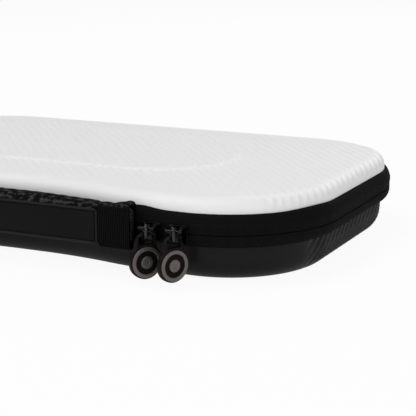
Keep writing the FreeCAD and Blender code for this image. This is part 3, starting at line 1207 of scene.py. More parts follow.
@dataclass
class BaseShell:
    """Black moulded lower shell, ribbed at its two ends."""

    inset: float = 1.4
    draft: float = 0.5
    wall: float = 3.4
    floor: float = 3.0
    bottom_radius: float = 11.0
    foot_inset: float = 24.0
    foot_lift: float = 0.6
    foot_round: float = 0.15
    wall_steps: int = 8
    rib_pitch: float = 6.2
    rib_height: float = 1.0
    rib_lean: float = 1.1
    rib_low: Point = (1.5, 6.0)
    rib_high: Point = (2.5, 1.0)
    rib_reach: Point = (4.5, 0.5)
    rib_sharpness: float = 0.7
    spacing: float = 0.7

    def section(self) -> list[Point]:
        """Section from the middle of the underside to the middle of the floor."""
        outer = -self.inset
        inner = outer - self.wall
        radius, rim = self.bottom_radius, SIZES.base_rim
        turn = radius - self.floor
        foot, lift = -self.foot_inset, self.foot_lift
        points = [(foot - 4, lift), (foot - 1, lift), (foot - 0.3, self.foot_round), (foot, 0)]
        low = outer - self.draft
        points += quarter((low - radius, radius), radius, -90, 0, 9)
        offsets = spread(low, outer, self.wall_steps)
        points += list(zip(offsets, spread(radius, rim - 0.8, self.wall_steps)))[1:]
        points += [(outer - 0.25, rim - 0.2), (outer - 0.7, rim)]
        points += [(inner + 0.5, rim), (inner, rim - 0.5), (inner, self.floor + turn + 4)]
        points += quarter((inner - turn, self.floor + turn), turn, 0, -90)
        return [*points, (foot, self.floor)]

    def relief(self, distance: float, point: Point) -> Point:
        """Slanting ribs on the end walls.

        Args:
            distance: Distance along the outline.
            point: Offset and height before the ribs.

        Returns:
            Offset and height with the ribs.
        """
        offset, height = point
        rim = SIZES.base_rim
        if height < 1 or height > rim - 0.5 or offset < -self.inset - self.bottom_radius * 0.8:
            return point
        far, near = (SIZES.half_length - reach for reach in self.rib_reach)
        ends = smooth_step(far, near, abs(OUTLINE.at(distance).x))
        low, high = (rim - below for below in self.rib_high)
        lift = smooth_step(*self.rib_low, height) * (1 - smooth_step(low, high, height))
        turn = 2 * math.pi * (distance - height * self.rib_lean) / self.rib_pitch
        wave = (0.5 + 0.5 * math.cos(turn)) ** self.rib_sharpness
        return offset - self.rib_height * ends * lift * wave, height

    def build(self) -> None:
        """Make and fit the shell."""
        settings = {"closed": False, "relief": self.relief, "angle": 40}
        piece = swept("base_shell", self.section(), self.spacing, **settings)
        fit(piece, Body.BASE, "shell_black", "base_shell")


@dataclass
class BaseInside:
    """Lining, rim binding, foam cradle and elastic band of the base."""

    inner: float = -4.85
    floor: float = 3.05
    corner: float = 8.0
    lining_reach: float = 18.0
    binding_low: float = 16.4
    binding_round: float = 0.35
    cradle_low: float = 3.8
    cradle_top: float = 15.85
    recess_floor: float = 5.85
    recess_start: float = -112.0
    recess_end: float = 44.0
    recess_half: float = 52.0
    recess_radius: float = 30.0
    pocket_x: float = 86.0
    pocket_radius: float = 25.0
    channel_half: float = 7.0
    channel_round: float = 4.0
    edge: float = 1.6
    band_half: float = 12.5
    band_reach: float = 63.0
    band_low: float = 15.9
    band_high: float = 17.3
    band_centre: float = -34.0
    band_edge: float = 0.35

    def binding_piece(self) -> Piece:
        """Tape sewn over the edge of the lining."""
        low, high = self.binding_low, SIZES.base_rim
        outer, inner = self.inner, self.inner - SIZES.lining
        heights = (low, low + 0.9, high - 1.2, high)
        section = [(outer, low), *((inner, height) for height in heights), (outer, high)]
        return swept("rim_binding_lower", softened(section, self.binding_round))

    def recess(self) -> PlanLine:
        """Edge of the recess for the tubing, the channel and the chestpiece's pocket."""
        start, end, half = self.recess_start, self.recess_end, self.recess_half
        radius, channel, small = self.recess_radius, self.channel_half, self.channel_round
        rise = channel + small
        foot = self.pocket_x - math.sqrt((self.pocket_radius + small) ** 2 - rise**2)
        angle = math.degrees(math.atan2(rise, self.pocket_x - foot))
        corner = Bend((start + radius, radius - half), radius, 180, 90)
        front = [
            Straight((start + radius, -half), (end - radius, -half)),
            Bend((end - radius, radius - half), radius, 270, 90),
            Straight((end, radius - half), (end, -rise)),
            Bend((end + small, -rise), small, 180, -90),
            Straight((end + small, -channel), (foot, -channel)),
            Bend((foot, -rise), small, 90, angle - 90),
        ]
        pocket = Bend((self.pocket_x, 0), self.pocket_radius, 180 + angle, 360 - 2 * angle)
        left = Straight((start, half - radius), (start, radius - half))
        back = mirrored([corner, *front], flip_y=-1)
        return PlanLine([*front, pocket, *back, left, corner])

    def cradle_piece(self) -> Piece:
        """Foam cradle: the outer side, then the recess, then the faces between them."""
        outside = self.inner - SIZES.lining - SIZES.clearance
        low, high, floor, edge = self.cradle_low, self.cradle_top, self.recess_floor, self.edge
        radius = self.corner - SIZES.lining
        side = [(outside - radius - 6, low)]
        side += quarter((outside - radius, low + radius), radius, -90, 0)
        side += quarter((outside - edge, high - edge), edge, 0, 90, 4)
        hollow = [(-6.0, floor), (-edge * 0.9, floor), (-edge * 0.25, floor + edge * 0.3)]
        hollow += [(0, floor + edge), *quarter((edge, high - edge), edge, 180, 90, 4)]
        parts = [
            swept("cradle", side, closed=False),
            swept("recess", hollow, 1.6, line=self.recess(), closed=False),
        ]
        for piece in parts:
            activate(piece)
            edit("FACE", "DESELECT")
            leave_edit()
            for polygon in piece.data.polygons:
                on_top = abs(polygon.center.z - high * MM) < 1e-5
                polygon.select = on_top and len(polygon.vertices) > 4
            bpy.ops.object.mode_set(mode="EDIT")
            bpy.ops.mesh.delete(type="ONLY_FACE")
            leave_edit()
        cradle = join("cradle_insert", parts)
        select_border()
        bpy.ops.mesh.fill(use_beauty=True)
        face_out()
        leave_edit()
        smooth(cradle, 30)
        return cradle

    def band_piece(self) -> Piece:
        """Elastic band across the tubing, stitched down at both ends."""
        half, reach, low, edge = self.band_half, self.band_reach, self.band_low, self.band_edge
        rows, columns = 96, 15

        def place(column: int, row: int) -> Spot:
            """Place of one corner of the closed strip.

            Args:
                column: Column of the corner.
                row: Row of the corner.

            Returns:
                The corner's place in millimetres.
            """
            y = reach * (2 * row / rows - 1)
            end = smooth_step(0, 1.2, reach - abs(y))
            full = (0.6 + 0.4 * smooth_step(4, 9, reach - abs(y))) * end
            rise = edge + (self.band_high - low - edge) * full
            above = column <= columns
            share = (column if above else column - columns) / columns
            across = 2 * share - 1
            lean = 1 - abs(across) ** 12
            if above:
                return self.band_centre + half * across, y, low + rise * (0.45 + 0.55 * lean)
            return self.band_centre - half * across, y, low if lean else low + rise * 0.45

        def flat(column: int, row: int) -> Point:
            """Place of one corner on the flat pattern."""
            return reach * 2 * row / rows, half * 2 * column / columns

        return closed_up(woven_grid("retaining_band", 2 * columns, rows, place, flat), 40)

    def build(self) -> None:
        """Make and fit the pieces inside the base."""
        edge = self.binding_low - SIZES.clearance
        sizes = (self.inner, edge, self.floor, self.corner, self.lining_reach, 6)
        lining = lining_piece("base_lining", *sizes)
        fit(lining, Body.BASE, "lining_grey", "base_lining")
        fit(self.binding_piece(), Body.BASE, "binding_black", "rim_binding_lower")
        cradle = self.cradle_piece()
        fit(cradle, Body.BASE, "cradle_foam", "cradle_base", "cradle_insert")
        band = fit(self.band_piece(), Body.BASE, "elastic_black", "retaining_band")


# Zip


@dataclass
class ZipTapes:
    """Two woven tapes of the zip, their teeth and the fabric of the hinge."""

    track: float = 2.9
    thickness: float = 1.0
    half_gap: float = 0.55
    lip_gap: float = 0.2
    upper_back: float = -1.15
    lower_back: float = -1.35
    loop_place: float = 72.0
    loop_reach: float = 9.0
    loop_lift: float = 1.5
    corner_place: float = -51.0
    corner_reach: float = 15.0
    corner_start: Point = (118.0, 140.0)
    corner_lift: float = 0.9
    lift_start: float = 27.0
    lower_face: tuple[Point, ...] = ((-0.7, 16.9), (1.0, 17.75), (2.15, 19.1), (2.75, 20.6))
    lower_bend: float = 21.7
    bulge: float = 3.15
    bulge_start: float = 2.6
    bulge_shares: tuple[Point, ...] = (
        (0.22, 1.0), (0.48, 0.88), (0.74, 0.68), (0.9, 0.46), (1.0, 0.16)
    )
    tooth_pitch: float = 1.5
    tooth_wire: float = 0.34
    tooth_root: float = 1.1
    tooth_reach: float = 0.35
    hinge_half: float = 70.0
    hinge_thickness: float = 0.6
    hinge_heights: Point = (20.2, 28.5)
    teeth_gap: float = 3.2
    back: float = 89.4

    def lower_line(self) -> list[Point]:
        """Outer line of the lower tape, from its foot to the seam."""
        top = SIZES.seam - self.lip_gap
        return [*self.lower_face, (self.track, self.lower_bend), (self.track, top)]

    def upper_line(self) -> list[Point]:
        """Outer line of the upper tape, from the seam to the lid's edge."""
        low = SIZES.seam + self.bulge_start
        rise = SIZES.lid_edge - SIZES.clearance - low
        points = [(self.track, SIZES.seam + self.lip_gap), (self.track, low - 0.9)]
        return points + [(self.bulge * out, low + rise * up) for up, out in self.bulge_shares]

    def tape(self, name: str, upper: bool) -> Piece:
        """One of the two tapes; the upper one bulges over the lid's edge.

        Args:
            name: Name of the piece.
            upper: Whether it is the upper tape.

        Returns:
            The new piece.
        """
        inner = self.track - self.thickness
        if upper:
            line, shelf = self.upper_line(), SIZES.lid_flange - SIZES.clearance
            end, edge = self.upper_back, SIZES.lid_edge - SIZES.clearance
            back = [(end, edge), (end, shelf), (inner, shelf), (inner, SIZES.seam + self.half_gap)]
        else:
            line, shelf = self.lower_line(), SIZES.base_rim + SIZES.clearance
            end, edge = self.lower_back, self.lower_face[0][1]
            back = [(inner, SIZES.seam - self.half_gap), (inner, shelf), (end, shelf), (end, edge)]
        relief = self.pulled_up if upper else None
        return swept(name, flowing(line) + back, 1.5, relief=relief, angle=50)

    def pulled_up(self, distance: float, point: Point) -> Point:
        """Upper edge of the tape, pulled up beside the webbing loops and round the corners.

        Args:
            distance: Distance along the outline.
            point: Offset and height before the pull.

        Returns:
            Offset and height after it.
        """
        offset, height = point
        place = OUTLINE.at(distance)
        if place.y > 0 or offset < 0.2:
            return point
        lift = self.loop_lift * bell(abs(place.x), self.loop_place, self.loop_reach)
        turn = bell(place.y, self.corner_place, self.corner_reach)
        lift += self.corner_lift * turn * smooth_step(*self.corner_start, abs(place.x))
        return offset, height + lift * smooth_step(self.lift_start, SIZES.lid_edge, height)

    def teeth(self, name: str, upper: bool) -> Piece:
        """Row of teeth on one tape, each tooth a copy of one that is modelled once.

        Args:
            name: Name of the piece.
            upper: Whether they are the upper tape's.

        Returns:
            The new piece.
        """
        side = 1 if upper else -1
        root = SIZES.seam + side * (self.half_gap + self.tooth_root)
        tooth = self.tooth_path(root, SIZES.seam - side * self.tooth_reach)
        ends = self.hinge_half + self.teeth_gap
        first = OUTLINE.length / 2 + ends + (0.5 * self.tooth_pitch if upper else 0.0)
        master = tube(name, tooth, self.tooth_wire, False, 6)
        corners = [vertex.co.copy() for vertex in master.data.vertices]
        faces = [list(polygon.vertices) for polygon in master.data.polygons]
        spots: list[Vector] = []
        shapes: list[list[int]] = []
        for number in range(int((OUTLINE.length - 2 * ends) / self.tooth_pitch)):
            station = OUTLINE.at(first + number * self.tooth_pitch)
            shapes += [[len(spots) + index for index in face] for face in faces]
            out = Vector((station.out_x, station.out_y, 0))
            along = Vector((-out.y, out.x, 0))
            origin = Vector((station.x, station.y, 0)) * MM
            up = Vector((0, 0, 1))
            spots += [origin + along * co.x + out * co.y + up * co.z for co in corners]
        mesh, old = bpy.data.meshes.new(name), master.data
        mesh.from_pydata(spots, [], shapes)
        mesh.update()
        master.data = mesh
        bpy.data.meshes.remove(old)
        smooth(master, 60)
        return master

    def tooth_path(self, root: float, tip: float) -> list[Vector]:
        """Hairpin of nylon that one tooth is bent from.

        Args:
            root: Height of the tooth's root.
            tip: Height of its tip.

        Returns:
            Its centre line.
        """
        inner, outer = -1.1, 0.55
        middle = (root + tip) / 2
        left = [(-0.18, inner, root), (-0.2, inner, middle), (-0.12, inner + 0.3, tip)]
        top = (0.0, (inner + outer) / 2, tip - math.copysign(0.1, root - tip))
        right = [(0.12, outer - 0.3, tip), (0.2, outer, middle), (0.18, outer, root)]
        return [Vector(spot) for spot in (*left, top, *right)]

    def hinge(self) -> Piece:
        """Fabric over the back of both tapes, folded at the seam."""
        low, high = self.hinge_heights
        face = [spot for spot in self.lower_line() + self.upper_line() if low < spot[1] < high]
        line = flowing([(x + SIZES.clearance, z) for x, z in face])
        middle = OUTLINE.length / 2
        span = (middle - self.hinge_half, middle + self.hinge_half)
        return swept("hinge_fabric", thick(line, self.hinge_thickness), span=span, angle=60)

    def build(self) -> None:
        """Make and fit the zip, and make and dress the hinge."""
        for body, place, upper in ((Body.BASE, "lower", False), (Body.LID, "upper", True)):
            name = f"zip_tape_{place}"
            fit(self.tape(name, upper), body, "zip_tape_black", name)
        for body, place, upper in ((Body.BASE, "lower", False), (Body.LID, "upper", True)):
            name = f"zip_coil_{place}"
            fit(self.teeth(name, upper), body, "coil_nylon", name)
        hinge = self.hinge()
        FINISHES.put(hinge, "hinge_fabric")
        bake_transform(hinge)
        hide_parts("hinge_strip_lower", "hinge_strip_upper")
        for side in Side:
            for slot in bpy.data.objects[f"zip_stop_{side.value}"].material_slots:
                slot.material = FINISHES.made["stop_metal"]


# Lid


@dataclass
class LidShell:
    """White moulded lid with slanting ribs and a raised panel."""

    edge_radius: float = 6.55
    flange_inset: float = 1.2
    flange_edge: float = 0.3
    wall: float = 3.2
    panel_half_length: float = 78.0
    panel_half_width: float = 40.0
    panel_rise: float = 0.8
    panel_slope: float = 0.7
    panel_levels: tuple[float, ...] = (0.9, 0.45, 0.1, -0.25, -0.6, -1.1)
    rim_levels: tuple[float, ...] = (-8.0, -10.0, -12.0, -14.5, -17.5, -21.0, -26.0)
    level_spacing: float = 0.8
    search_spacing: float = 0.15
    rib_pitch: float = 4.4
    rib_rows: int = 8
    rib_height: float = 0.6
    rib_sharpness: float = 1.3
    rib_angle: float = 131.0
    smooth_front: float = 68.0
    fillet_steps: int = 9
    columns_between: int = 7
    columns_inside: int = 12

    def __post_init__(self) -> None:
        """Lay out closely spaced stations on the outline and a search tree for them."""
        self.stations = [OUTLINE.at(at) for at in OUTLINE.steps(self.search_spacing)[:-1]]
        self.tree = KDTree(len(self.stations))
        for index, station in enumerate(self.stations):
            self.tree.insert((station.x, station.y, 0), index)
        self.tree.balance()

    def nearest(self, x: float, y: float) -> Station:
        """Close station that is nearest to a point in plan."""
        return self.stations[self.tree.find((x, y, 0))[1]]

    def rounding(self, steps: int) -> list[float]:
        """Distances inside the outline of even steps round the lid's edge."""
        turns = spread(0, math.pi / 2, steps)
        return [self.edge_radius * (1 - math.cos(turn)) for turn in turns]

    def levels(self) -> list[list[Point]]:
        """Closed lines that the columns of the rib rows end on, from the rim inwards."""
        radius = self.panel_half_width
        reach = self.panel_half_length - radius
        front = [Straight((-reach, -radius), (reach, -radius)), Bend((reach, 0), radius, 270, 180)]
        back = [Straight((reach, radius), (-reach, radius)), Bend((-reach, 0), radius, 90, 180)]
        offsets = [-depth for depth in self.rounding(self.fillet_steps)]
        panel = PlanLine([*front, *back])
        found: list[list[Point]] = []
        for line, levels in ((OUTLINE, (*offsets, *self.rim_levels)), (panel, self.panel_levels)):
            stations = [line.at(distance) for distance in line.steps(self.level_spacing)[:-1]]
            found += [[station.moved(offset) for station in stations] for offset in levels]
        return found

    def rows(self) -> tuple[list[list[Point]], list[float]]:
        """Corners of each row of the ribbed skin, in plan.

        Returns:
            The rows, and the distance of each row from the origin across the ribs.
        """
        turn = math.radians(self.rib_angle)
        a, b = math.cos(turn), math.sin(turn)
        levels = [[(x * b - y * a, x * a + y * b) for x, y in level] for level in self.levels()]
        low = min(u for u, _ in levels[0])
        high = max(u for u, _ in levels[0])
        steps = self.rounding(self.fillet_steps * 2)[:-1]
        pitch = self.rib_pitch / self.rib_rows
        first = math.ceil((low + self.edge_radius) / pitch)
        last = math.floor((high - self.edge_radius) / pitch)
        places = [low + step for step in steps]
        places += [index * pitch for index in range(first, last + 1)]
        places += [high - step for step in reversed(steps)]
        rows: list[list[Point]] = []
        for u in places:
            columns = self.row_columns(self.row_ends(levels, u))
            rows.append([(u * b + v * a, v * b - u * a) for v in columns])
        return rows, places

    def row_ends(self, levels: Sequence[Sequence[Point]], u: float) -> list[Point]:
        """Both ends of one row on every level, closed to a point where the row passes it.

        Args:
            levels: Points of each level, across and along the ribs.
            u: Place of the row across the ribs.

        Returns:
            First and last place along the ribs, on each level.
        """
        ends: list[Point] = []
        for level in levels:
            crossed: list[float] = []
            for before, here in zip([level[-1], *level], level):
                if (before[0] - u) * (here[0] - u) <= 0 and before[0] != here[0]:
                    share = (u - before[0]) / (here[0] - before[0])
                    crossed.append(before[1] + (here[1] - before[1]) * share)
            if not crossed:
                crossed = [min(level, key=lambda spot: abs(spot[0] - u))[1]]
            low, high = min(crossed), max(crossed)
            if ends:
                floor, ceiling = ends[-1]
                low, high = min(max(low, floor), ceiling), max(min(high, ceiling), floor)
            ends.append((low, high))
        return ends

    def row_columns(self, ends: Sequence[Point]) -> list[float]:
        """Columns of one row, with even ones between the rim's levels and the panel's.

        Args:
            ends: Both ends of the row on each level.

        Returns:
            Places of the columns along the ribs.
        """
        count = len(self.panel_levels)
        left, right = ([span[side] for span in ends] for side in (0, 1))
        for half in (left, right):
            half[-count:-count] = spread(half[-count - 1], half[-count], self.columns_between)[1:-1]
        return left + spread(left[-1], right[-1], self.columns_inside)[1:-1] + right[::-1]

    def corner(self, x: float, y: float, across: float) -> Spot:
        """Place of one corner of the ribbed skin.

        Args:
            x: Place in plan.
            y: Place in plan.
            across: Distance across the ribs.

        Returns:
            The corner's place in millimetres.
        """
        near = self.nearest(x, y)
        depth = (near.x - x) * near.out_x + (near.y - y) * near.out_y
        radius = self.edge_radius
        cosine = 1 - min(max(depth, 0.0) / radius, 1.0)
        sine = math.sqrt(max(0.0, 1 - cosine**2))
        reach = self.panel_half_length - self.panel_half_width
        past_panel = math.hypot(max(abs(x) - reach, 0.0), y) - self.panel_half_width
        z = SIZES.lid_top - radius + radius * sine
        z += self.panel_rise * (1 - smooth_step(-self.panel_slope, self.panel_slope, past_panel))
        wave = (0.5 + 0.5 * math.cos(2 * math.pi * across / self.rib_pitch)) ** self.rib_sharpness
        beyond = abs(y) - 1.5 * smooth_step(90, 130, abs(x)) - self.smooth_front
        rise = self.rib_height * wave * (1 - smooth_step(-1.5, 3.5, beyond))
        rise *= smooth_step(0.05, 0.75, sine)
        return x + near.out_x * cosine * rise, y + near.out_y * cosine * rise, z + sine * rise

    def rings(self) -> list[Point]:
        """Offset and height of each ring of the rim and the inside, from the skin's edge."""
        low, flange, edge = SIZES.lid_edge, SIZES.lid_flange, self.flange_edge
        outer, inner = -self.flange_inset, -self.flange_inset - self.wall
        radius = self.edge_radius - self.wall
        centre = (inner - radius, SIZES.lid_top - self.wall - radius)
        rings = [(0.0, low + 0.1), (-0.1, low), (outer, low), (outer, flange + edge)]
        rings += [(outer - edge, flange), (inner + edge, flange), (inner, flange + edge)]
        return rings + quarter(centre, radius, 0, 90)

    def build(self) -> None:
        """Make and fit the lid: its ribbed skin, then its rim and inside by extruding the edge."""
        rows, places = self.rows()
        spots = [[self.corner(*spot, place) for spot in row] for row, place in zip(rows, places)]
        cells = (len(rows[0]) - 1, len(rows) - 1)
        piece = woven_grid("lid_shell", *cells, lambda column, row: spots[row][column])
        closed_up(piece, fill=False)
        select_border()
        for offset, height in self.rings():
            down = {"value": (0, 0, -MM)}
            bpy.ops.mesh.extrude_edges_move(TRANSFORM_OT_translate=down)
            leave_edit()
            for vertex in piece.data.vertices:
                if vertex.select:
                    x, y, _ = vertex.co / MM
                    near = self.nearest(x, y)
                    slip = (y - near.y) * near.out_x - (x - near.x) * near.out_y
                    x, y = near.moved(offset)
                    spot = (x - near.out_y * slip, y + near.out_x * slip, height)
                    vertex.co = Vector(spot) * MM
            bpy.ops.object.mode_set(mode="EDIT")
        bpy.ops.mesh.edge_face_add()
        face_out()
        leave_edit()
        smooth(piece, 42)
        fit(piece, Body.LID, "shell_white", "lid_shell")


@dataclass
class LidInside:
    """Lining, rim binding and net pocket of the lid."""

    inner: float = -4.45
    ceiling: float = 36.05
    corner: float = 2.8
    lining_reach: float = 20.0
    binding_high: float = 30.3
    binding_lip: float = -1.17
    binding_under: float = 0.3
    net_low: float = 29.4
    net_middle: float = 0.3
    net_thread: float = 0.25
    mouth: float = -50.0
    mouth_width: float = 6.0
    mouth_low: float = -0.7
    mouth_high: float = 1.3
    mouth_fullness: float = 0.85
    tape_width: float = 1.2
    tape_height: float = 1.4
    sag: float = 0.315
    ripple: float = 0.12

    def binding_piece(self) -> Piece:
        """Tape sewn over the edge of the lid's lining."""
        low, high, lip = SIZES.lid_flange, self.binding_high, self.binding_lip
        outer, inner, fold = self.inner, self.inner - SIZES.lining, self.binding_under
        under = low - fold
        section = [(lip, low), (lip, under + 0.1), (lip - 0.1, under), (inner + fold, under)]
        section += [(inner, under + fold), (inner, high - 0.35), (inner + 0.2, high)]
        return swept("rim_binding_upper", section + [(outer, high), (outer, low)])

    def net_piece(self) -> Piece:
        """Net that sags a little between its edges."""
        offset = self.inner - SIZES.lining - self.tape_width - 2 * SIZES.clearance
        line = [OUTLINE.at(distance).moved(offset) for distance in OUTLINE.steps(2.0)[:-1]]
        right = sorted((y, x) for x, y in line if x > 60 or abs(y) > 70 and x >= 0)
        rows, columns = 60, 72
        top = max(y for y, _ in right)

        def half_at(y: float) -> float:
            """Half the net's length at one place.

            Args:
                y: The place.

            Returns:
                Half the length there.
            """
            below = [(spot, x) for spot, x in right if spot <= y and x > 60]
            above = [(spot, x) for spot, x in right if spot >= y]
            if not below or not above:
                return max((x for spot, x in right if abs(spot - y) < 3), default=60.0)
            low, high = max(below), min(above)
            if high[0] - low[0] < 1e-6:
                return low[1]
            return low[1] + (high[1] - low[1]) * (y - low[0]) / (high[0] - low[0])

        turns = spread(0, math.pi / 2, rows)
        places = [self.mouth + (top - self.mouth) * math.sin(turn) for turn in turns]
        halves = [half_at(y) for y in places]

        def place(column: int, row: int) -> Spot:
            """Place of one corner."""
            share = 2 * column / columns - 1
            y = places[row]
            deep = (1 - share**2) * smooth_step(0, 26, top - y)
            sag = (self.ripple * math.sin(share * 19 + y * 0.11) - self.sag) * deep
            return halves[row] * share, y, self.net_low + self.net_middle + sag

        def flat(column: int, row: int) -> Point:
            """Place of one corner on the flat pattern."""
            return column * 3.0, row * 2.2

        piece = woven_grid("pocket_net", columns, rows, place, flat)
        closed_up(piece, fill=False)
        finish_modifier(piece, "SOLIDIFY", thickness=self.net_thread * MM, offset=0.0)
        smooth(piece, 40)
        return piece

    def mouth_piece(self) -> Piece:
        """Gathered elastic binding along the mouth of the pocket."""
        half, half_y = 128.0, self.mouth_width / 2
        middle_y = self.mouth - SIZES.clearance - half_y
        for distance in OUTLINE.steps(1.0):
            x, y = OUTLINE.at(distance).moved(self.inner - SIZES.lining - 1.4)
            if x > 0 and abs(y - self.mouth + 3) < 0.6:
                half = x
        columns, rows = 14, 180
        middle_z = self.net_low + (self.mouth_low + self.mouth_high) / 2
        half_z = (self.mouth_high - self.mouth_low) / 2 * self.mouth_fullness

        def place(column: int, row: int) -> Spot:
            """Place of one corner."""
            turn = 2 * math.pi * column / columns
            x = half * (2 * row / rows - 1)
            gather = 1 + 0.1 * math.sin(x * 1.7) + 0.05 * math.sin(x * 4.1)
            y = middle_y + half_y * power(math.cos(turn), 0.6)
            return x, y, middle_z + half_z * gather * power(math.sin(turn), 0.8)

        def flat(column: int, row: int) -> Point:
            """Place of one corner on the flat pattern."""
            return row * 1.4, column * 0.9

        return closed_up(woven_grid("pocket_binding", columns, rows, place, flat), 50)

    def edge_tape_piece(self) -> Piece:
        """Tape that holds the net's edge to the lining."""
        outer = self.inner - SIZES.lining - SIZES.clearance
        inner = outer - self.tape_width
        low, high = self.net_low, self.net_low + self.tape_height
        section = softened([(outer, low), (inner, low), (inner, high), (outer, high)], 0.4)
        steps = OUTLINE.steps(0.5)
        reach = [step for step in steps if OUTLINE.at(step).moved(outer)[1] > self.mouth]
        return swept("pocket_edge_tape", section, span=(min(reach), max(reach)))

    def build(self) -> None:
        """Make and fit the pieces inside the lid."""
        edge = self.binding_high + SIZES.clearance
        sizes = (self.inner, edge, self.ceiling, self.corner, self.lining_reach, 5)
        lining = fit(lining_piece("lid_lining", *sizes), Body.LID, "lining_grey", "lid_lining")
        fit(self.binding_piece(), Body.LID, "binding_black", "rim_binding_upper")
        net = fit(self.net_piece(), Body.LID, "net_black", "pocket_net")
        binding = fit(self.mouth_piece(), Body.LID, "elastic_black", "pocket_binding")
        tape = fit(self.edge_tape_piece(), Body.LID, "binding_black", "pocket_edge_tape")


# Carry handle


@dataclass
class CarryHandle:
    """Padded handle with a grip patch, held by two webbing loops."""

    half_length: float = 70.9
    low: float = 15.6
    high: float = 35.1
    swell: float = 1.7
    back: float = -90.45
    front: float = -94.85
    girth: float = 42.0
    patch_half: float = 54.4
    patch_low: float = 15.6
    patch_high: float = 32.4
    patch_face: float = -96.0
    patch_back: float = -94.9
    patch_corner: float = 1.5
    frame_round: float = 0.55
    frame_width: float = 1.7
    plate_inset: float = 0.9
    field_drop: float = 0.3
    loop_start: float = 54.9
    loop_end: float = 71.2
    loop_foot: Point = (-79.75, 16.2)
    loop_corner: float = 1.7
    loop_drop: Point = (1.1, 0.4)
    loop_step: float = 0.8
    webbing: float = 1.0
    cloth: float = 0.8
    ribs: int = 17
    rib_samples: int = 6
    rib_height: float = 0.28
    edge_drop: float = 0.12
    fold: Point = (33.0, 34.8)

    def sleeve_piece(self) -> Piece:
        """Sleeve round the foam core, full in the middle and drawn in at its ends."""
        columns, rows = 40, 110
        middle_y, half_y = (self.back + self.front) / 2, (self.back - self.front) / 2

        def place(column: int, row: int) -> Spot:
            """Place of one corner.

            Args:
                column: Column of the corner.
                row: Row of the corner.

            Returns:
                The corner's place in millimetres.
            """
            turn = 2 * math.pi * column / columns
            x = self.half_length * (2 * row / rows - 1)
            end = smooth_step(0, 1.5, self.half_length - abs(x))
            held = smooth_step(self.loop_start - 1.5, self.loop_start + 1, abs(x))
            pinch = 0.86 + 0.14 * end - 0.12 * held
            swell = self.swell * (1 - 0.65 * smooth_step(15, 62, abs(x))) * (1 - held)
            high = self.high + swell
            middle_z, half_z = (self.low + high) / 2, (high - self.low) / 2
            pucker = 1 + 0.007 * math.sin(x * 0.9 + math.sin(turn) * 2)
            y = middle_y + half_y * pinch * power(math.cos(turn), 0.55)
            z = middle_z + half_z * pinch * pucker * 0.99 * power(math.sin(turn), 0.32)
            return x, y, z

        def flat(column: int, row: int) -> Point:
            """Place of one corner on the flat pattern."""
            return 2 * self.half_length * row / rows, self.girth * column / columns

        return closed_up(woven_grid("handle_sleeve", columns, rows, place, flat), 60)

    def patch_piece(self) -> Piece:
        """Moulded grip patch: raised outer frame, step, and a bare field."""
        x, y = self.patch_half, (self.patch_high - self.patch_low) / 2
        deep, small = self.patch_back - self.patch_face, self.frame_round
        rim = quarter((-small, deep - small), small, 0, 180, 8)
        section = [(-2 * small, 0.0), (-0.15, 0.0), (0, 0.15), *rim]
        line = rounded_rectangle(x, y, self.patch_corner)
        frame = swept("grip_patch", section, 4.0, line=line, angle=40)
        field_face = deep - self.field_drop
        corner = (x - self.plate_inset, y - self.plate_inset)
        low = (-corner[0], -corner[1], 0)
        plate = rounded_box("plate", low, (*corner, field_face - 0.4), 0.05, 1)
        corner = (x - self.frame_width, y - self.frame_width)
        bare = rounded_box("field", (-corner[0], -corner[1], 0.1), (*corner, field_face), 0.3)
        piece = join("grip_patch", [frame, plate, bare])
        return stood_up(piece, self.patch_back, (self.patch_high + self.patch_low) / 2)

    def loop_path(self) -> list[Point]:
        """Middle line of the webbing in Y and height, from the wall round the handle."""
        off = self.webbing / 2 + SIZES.clearance
        front, back = self.front - off, self.back + off
        low, high = self.low - off, self.high + off
        side, middle = (high - drop for drop in self.loop_drop)
        corners = [self.loop_foot, (self.loop_foot[0], low), (front, low), (front, side)]
        corners += [((front + back) / 2, middle), (back, side), (back, low + self.webbing + 0.3)]
        return softened(corners, self.loop_corner, 4, closed=False)

    def loop_piece(self, side: Side) -> Piece:
        """Webbing loop at one end of the handle, with ribs along it.

        Args:
            side: Side of the case that it is on.

        Returns:
            The new piece.
        """
        path = self.loop_path()
        dense: list[Point] = []
        for before, after in zip(path, path[1:]):
            count = max(1, round(math.dist(before, after) / self.loop_step))
            ys, zs = (spread(before[axis], after[axis], count) for axis in (0, 1))
            dense += list(zip(ys, zs))[:-1]
        dense.append(path[-1])
        lengths = run_lengths(dense)
        across = self.ribs * self.rib_samples
        width = self.loop_end - self.loop_start
        sign = 1 if side is Side.RIGHT else -1

        def place(column: int, row: int) -> Spot:
            """Place of one corner.

            Args:
                column: Column of the corner.
                row: Row of the corner.

            Returns:
                The corner's place in millimetres.
            """
            along = heading(dense, row)
            y, z = dense[row]
            share = column / across
            x = self.loop_start + width * share
            wave = 0.5 - 0.5 * math.cos(2 * math.pi * column / self.rib_samples)
            edge = smooth_step(0, 0.03, min(share, 1 - share))
            crumple = 0.13 * math.sin(x * 1.1 + y * 1.3) - 0.45 + 1.5 * smooth_step(61, 70, x)
            rise = self.rib_height * wave * edge - self.edge_drop * (1 - edge)
            rise += crumple * smooth_step(*self.fold, z)
            return sign * x, y - along.y * rise, z + along.x * rise

        def flat(column: int, row: int) -> Point:
            """Place of one corner on the flat pattern."""
            return lengths[row], width * column / across

        piece = woven_grid(f"anchor_loop_{side.value}", across, len(dense) - 1, place, flat)
        finish_modifier(piece, "SOLIDIFY", thickness=self.cloth * MM, offset=0.0)
        return closed_up(piece, 50, fill=False)

